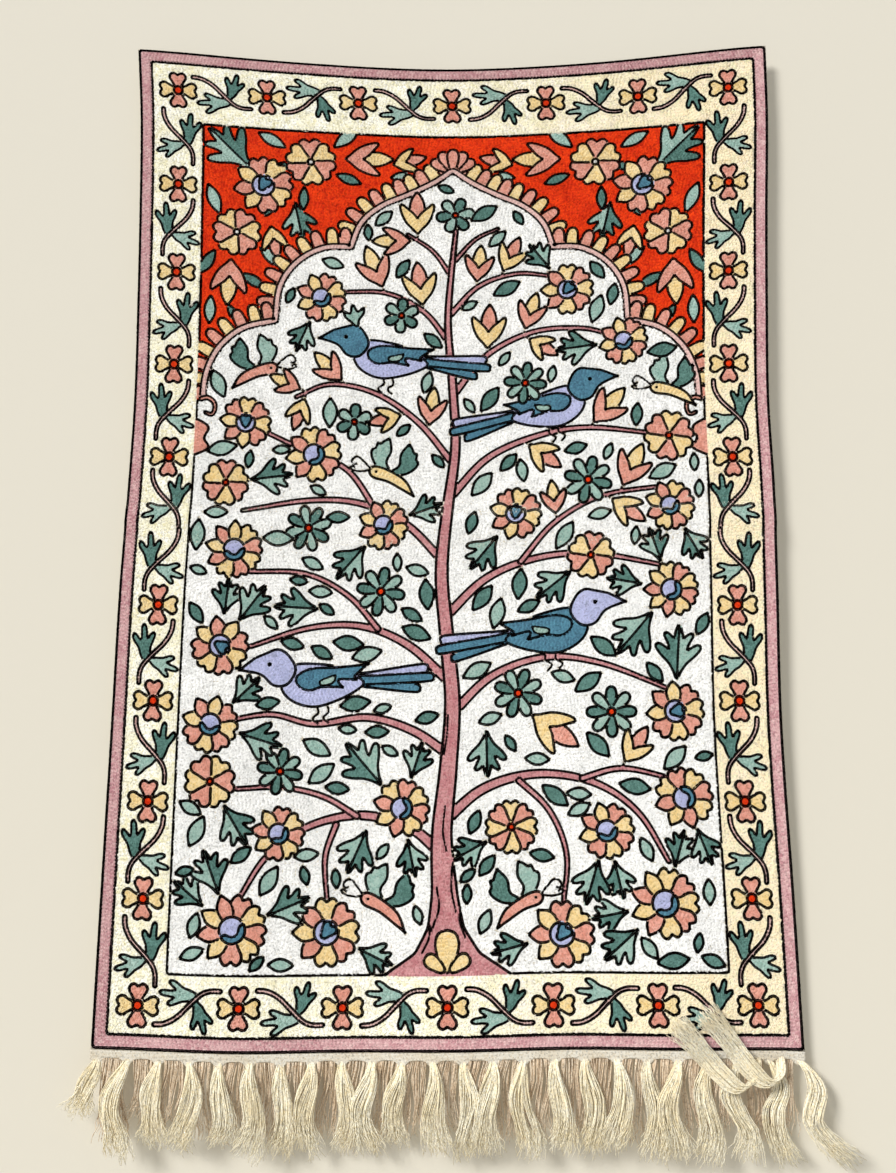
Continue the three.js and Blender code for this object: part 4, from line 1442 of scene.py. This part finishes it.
def tassel_row(count, shift, row, seed, bent):
    """Yarn paths of one row of tassels: each a few thick strands from one neck that curl as they fall."""
    chance = np.random.default_rng(seed)
    knots = row["knots"]
    u = np.linspace(0, 1, knots)[None, :]
    paths = []
    for tassel in range(count):
        length = np.interp(tassel / count, (0, 1), row["length"]) + either_way(tassel, seed, row["vary"])
        lean = either_way(tassel, seed + 1, row["lean"])
        bulge = either_way(tassel, seed + 2, row["bulge"])
        sway = np.interp(tassel / count, (0, 1), row["sway"]) * chance.uniform(0.5, 1.0)
        bends, start = chance.uniform(0.7, 1.15), chance.uniform(0, 2 * np.pi)
        aside = lean * u**1.6 + bulge * np.sin(np.pi * u)
        aside = aside + sway * (np.sin(2 * np.pi * bends * u + start) - np.sin(start))
        drop = length * u
        if tassel in bent:
            aside, drop = through(bent[tassel], knots).T[:, None, :]
        near, far = row["layers"][tassel % 2]
        spread = row["gather"] + (1 - row["gather"]) * ease(u / GATHER_END) + FAN * u**3
        for k, offset in enumerate(np.linspace(-1, 1, STRANDS) * row["apart"]):
            curl = CURL * np.sin(2 * np.pi * (u * chance.uniform(0.8, 1.4) + chance.uniform(0, 1))) * u**0.8
            s = tassel_place(tassel) + shift + offset * spread + aside + curl
            t = ROOT_LEVEL + ROOT_DEPTH * u + drop * (1 + chance.uniform(-0.07, 0.03))
            depth = near + (far - near) * (k + 0.5) / STRANDS
            sway_forward = NOD * np.sin(2 * np.pi * (u * 0.9 + chance.uniform(0, 1))) * u
            forward = depth * (1 - (1 - u)**2) + sway_forward
            yarns = row["yarns"], row["thick"], SPLAY, TIP_REACH, row["gather"] + 0.15
            paths.append(strand_yarns(chance, u, (s, t, forward), *yarns))
    return np.vstack(paths)


front_paths = tassel_row(TASSELS, 0.0, FRONT, 1, BENT)
back_paths = tassel_row(TASSELS - 1, PITCH / 2, BACK, 11, {})
print("yarns in front:", len(front_paths), "and behind:", len(back_paths))

# %% [markdown]
# ## Tassels thrown over the corner
# At the lower right, two bundles have been flipped up and lie across the border. Each follows a curve that
# dips below the hem, comes forward round it and runs up over the stitches, and no yarn may sink into them.

# %% Two bundles over the cloth
FLIPPED = [
    [(282, 933), (280, 945), (268, 951), (254, 940), (242, 924), (231, 910), (220, 899)],
    [(262, 934), (257, 947), (244, 955), (229, 944), (215, 929), (204, 917), (195, 909)],
]
FLIPPED_STRANDS, FLIPPED_YARNS, FLIPPED_KNOTS = 4, 28, 26
LOWEST_ON_CLOTH = 2.2
NECK_OUT, FULL_OUT, TIP_OUT, FULL_OUT_FROM = 2.5, 3.6, 0.8, 0.5
LIFT, HUMP, HUMP_END, STAGGER = 4.4, 8.5, 0.62, 0.8
THICK, FLIPPED_SPLAY, FLIPPED_NECK = 2.7, 1.0, 0.6
chance = np.random.default_rng(5)
u = np.linspace(0, 1, FLIPPED_KNOTS)[None, :]
flipped_paths = []
for points in FLIPPED:
    line = through(points, FLIPPED_KNOTS)
    for offset in np.linspace(-1, 1, FLIPPED_STRANDS):
        aside = offset * (NECK_OUT + FULL_OUT * ease(u / FULL_OUT_FROM) + TIP_OUT * u**3)
        forward = LIFT + HUMP * np.sin(np.pi * np.clip(u / HUMP_END, 0, 1))**0.8 + STAGGER * offset
        middle = (line[None, :, 0] + 0.75 * aside, line[None, :, 1] - 0.65 * aside, forward)
        bundle = FLIPPED_YARNS, THICK, FLIPPED_SPLAY, TIP_REACH, FLIPPED_NECK
        path = strand_yarns(chance, u, middle, *bundle)
        on_cloth = path[..., 1] < CLOTH_DROP
        path[..., 2] = np.where(on_cloth, np.maximum(path[..., 2], LOWEST_ON_CLOTH), path[..., 2])
        flipped_paths.append(path)
flipped_paths = np.vstack(flipped_paths)

# %% The yarn pieces
pale = material("cotton_yarn_pale", (0.99, 0.955, 0.82), (0.88, 0.76, 0.50))
tan = material("cotton_yarn_tan", (0.92, 0.80, 0.64), (0.60, 0.45, 0.30))
YARN_PIECES = [
    ("front_tassels", front_paths, 0.60, pale, 0.85), ("back_tassels", back_paths, 0.62, tan, 0.9),
    ("flipped_tassels", flipped_paths, 0.55, pale, 0.7)]
fringe_pieces = []
for name, paths, radius, yarn, most in YARN_PIECES:
    fringe_pieces.append(tubes(name, paths, taper(paths, radius), yarn, yarn_tone(chance, paths, most)))
print("pieces of yarn:", len(fringe_pieces))

# %% [markdown]
# ## The heading tape
# The tassels leave the hem from a narrow strip of cotton, which dips between stitches where each is tied
# in. It is one closed sheet again, and its lower edge is a row of scallops: a cosine to the sixth power,
# which is narrow at each root and flat between them.

# %% Scalloped tape
TAPE_ROWS, TAPE_STEPS, TAPE_HALF = 7, TASSELS * 14 + 1, 1.2
columns = np.linspace(-HALF_CLOTH, HALF_CLOTH, TAPE_STEPS)
foot = TAPE_HEIGHT + TAPE_DIP * np.cos(np.pi * (columns - tassel_place(0)) / PITCH)**6
s = np.broadcast_to(columns[None], (TAPE_ROWS, TAPE_STEPS))
t = CLOTH_DROP + PIECE_GAP + np.linspace(0, 1, TAPE_ROWS)[:, None] * foot[None]
cotton_tape = material("cotton_tape", (0.88, 0.84, 0.74), (0.76, 0.66, 0.50), woven=True)
tape = closed_sheet("heading_tape", s, t, TAPE_HALF, -TAPE_HALF, cotton_tape)
fringe_pieces.append(tape)

# %% [markdown]
# ## Tying the look to the solids
# Every new piece rides on the frame's root, so that it moves with the part. The canvas stands in for the
# panel and the tape for the fringe, so those two solids are hidden.

# %% Parents, and the two solids hidden
for piece in [*sewn, canvas, *fringe_pieces]:
    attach(piece, "root")
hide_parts("panel")
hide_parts("fringe")

# %% [markdown]
# ## Wall and floor
# The cloth hangs close to a warm pale wall, and its shadow falls to the right and down. Wall and floor are
# single quads of one matt material. Seen from behind, the wall would hide the cloth and keep all light from
# its back, so the material is clear from its back and lets the light of lamps through. From the front,
# neither changes anything.

# %% A wall that is clear from behind
WALL_COLOUR, WALL_BACK, WALL_HALF, WALL_TOP, WALL_FOOT = (0.66, 0.63, 0.552, 1), 0.015, 2.5, 1.6, -2.6
FLOOR_LEVEL, FLOOR_FRONT = -1.6, -3.0
wall_paint = bpy.data.materials.new("warm_wall")
wall_paint.use_nodes = True
nodes, links = wall_paint.node_tree.nodes, wall_paint.node_tree.links
surface = nodes["Principled BSDF"]
surface.inputs["Base Color"].default_value = WALL_COLOUR
surface.inputs["Roughness"].default_value = 0.95
side, ray, either = (nodes.new("ShaderNode" + kind) for kind in ("NewGeometry", "LightPath", "Math"))
see_through, mix = nodes.new("ShaderNodeBsdfTransparent"), nodes.new("ShaderNodeMixShader")
either.operation = "MAXIMUM"
links.new(side.outputs["Backfacing"], either.inputs[0])
links.new(ray.outputs["Is Shadow Ray"], either.inputs[1])
for socket, goal in ((either.outputs[0], mix.inputs[0]), (surface.outputs[0], mix.inputs[1]),
                     (see_through.outputs[0], mix.inputs[2])):
    links.new(socket, goal)
links.new(mix.outputs[0], nodes["Material Output"].inputs["Surface"])
WALL_CORNERS = [(-WALL_HALF, WALL_BACK, WALL_FOOT), (WALL_HALF, WALL_BACK, WALL_FOOT),
                (WALL_HALF, WALL_BACK, WALL_TOP), (-WALL_HALF, WALL_BACK, WALL_TOP)]
FLOOR_CORNERS = [(-WALL_HALF, WALL_BACK, FLOOR_LEVEL), (-WALL_HALF, FLOOR_FRONT, FLOOR_LEVEL),
                 (WALL_HALF, FLOOR_FRONT, FLOOR_LEVEL), (WALL_HALF, WALL_BACK, FLOOR_LEVEL)]
for name, corners in (("wall", WALL_CORNERS), ("floor", FLOOR_CORNERS)):
    add_mesh(name, np.array(corners), np.array([(0, 1, 2, 3)]), wall_paint, bake_map=False)

# %% [markdown]
# ## Light and camera
# The photo's light is soft daylight from the upper left, with a shadow that has a wide blurred rim. A sun
# lamp with a wide angle gives that rim evenly over the whole cloth, which a near area lamp wouldn't, and
# the world adds an even fill. A weaker, level sun stands behind and lights the plain back only.
# The camera stands low in front of the cloth and looks up a little, so that the sides draw together
# towards the top, as in the photo.

# %% Lights
ROOM_COLOUR, ROOM_STRENGTH = (0.99, 0.995, 1.0, 1), 0.55
SUN_SPREAD, SUN_COLOUR = 16, (1.0, 0.985, 0.955)
SUNS = [("window", (0.62, 0.66, -0.52), 3.05), ("back_window", (0.35, -0.93, 0.02), 1.5)]


def stand(name, data, way, up, spot):
    """An object at a spot that looks along a way, with its own up as near the given one as can be."""
    way = np.asarray(way, float) / np.linalg.norm(way)
    right = np.cross(way, up)
    right /= np.linalg.norm(right)
    turned = np.eye(4)
    turned[:3] = np.stack([right, np.cross(right, way), -way, spot], 1)
    thing = bpy.data.objects.new(name, data)
    bpy.context.collection.objects.link(thing)
    thing.matrix_world = Matrix(turned.tolist())
    return thing


world = bpy.context.scene.world or bpy.data.worlds.new("soft_room")
bpy.context.scene.world = world
world.use_nodes = True
world.node_tree.nodes["Background"].inputs["Color"].default_value = ROOM_COLOUR
world.node_tree.nodes["Background"].inputs["Strength"].default_value = ROOM_STRENGTH
for name, way, energy in SUNS:
    sun = bpy.data.lights.new(name, "SUN")
    sun.energy, sun.angle, sun.color = energy, np.radians(SUN_SPREAD), SUN_COLOUR
    stand(name, sun, way, (0, 0, 1), tuple(-np.array(way)))

# %% Camera
CAMERA_SPOT, CAMERA_ANGLE = (0.0102, -0.9117, -0.6270), 60
CAMERA_WAY, CAMERA_UP = (-0.0121, 0.9913, 0.1313), (-0.0015, -0.1313, 0.9913)
camera = bpy.data.cameras.new("camera")
camera.sensor_fit = "VERTICAL"
camera.angle = np.radians(CAMERA_ANGLE)
bpy.context.scene.camera = stand("camera", camera, CAMERA_WAY, CAMERA_UP, CAMERA_SPOT)
bpy.context.scene.view_settings.view_transform = "Standard"
print("the camera stands", -CAMERA_SPOT[1], "m in front of the cloth")

# %% [markdown]
# ## Counting
# Every triangle costs time and memory wherever the part is used later, so the last step counts them piece
# by piece.

# %% Triangles
total = 0
for piece in [*sewn, canvas, *fringe_pieces]:
    count = sum(len(face.vertices) - 2 for face in piece.data.polygons)
    total += count
    print(piece.name, count, "triangles")
print("triangles in all:", total)
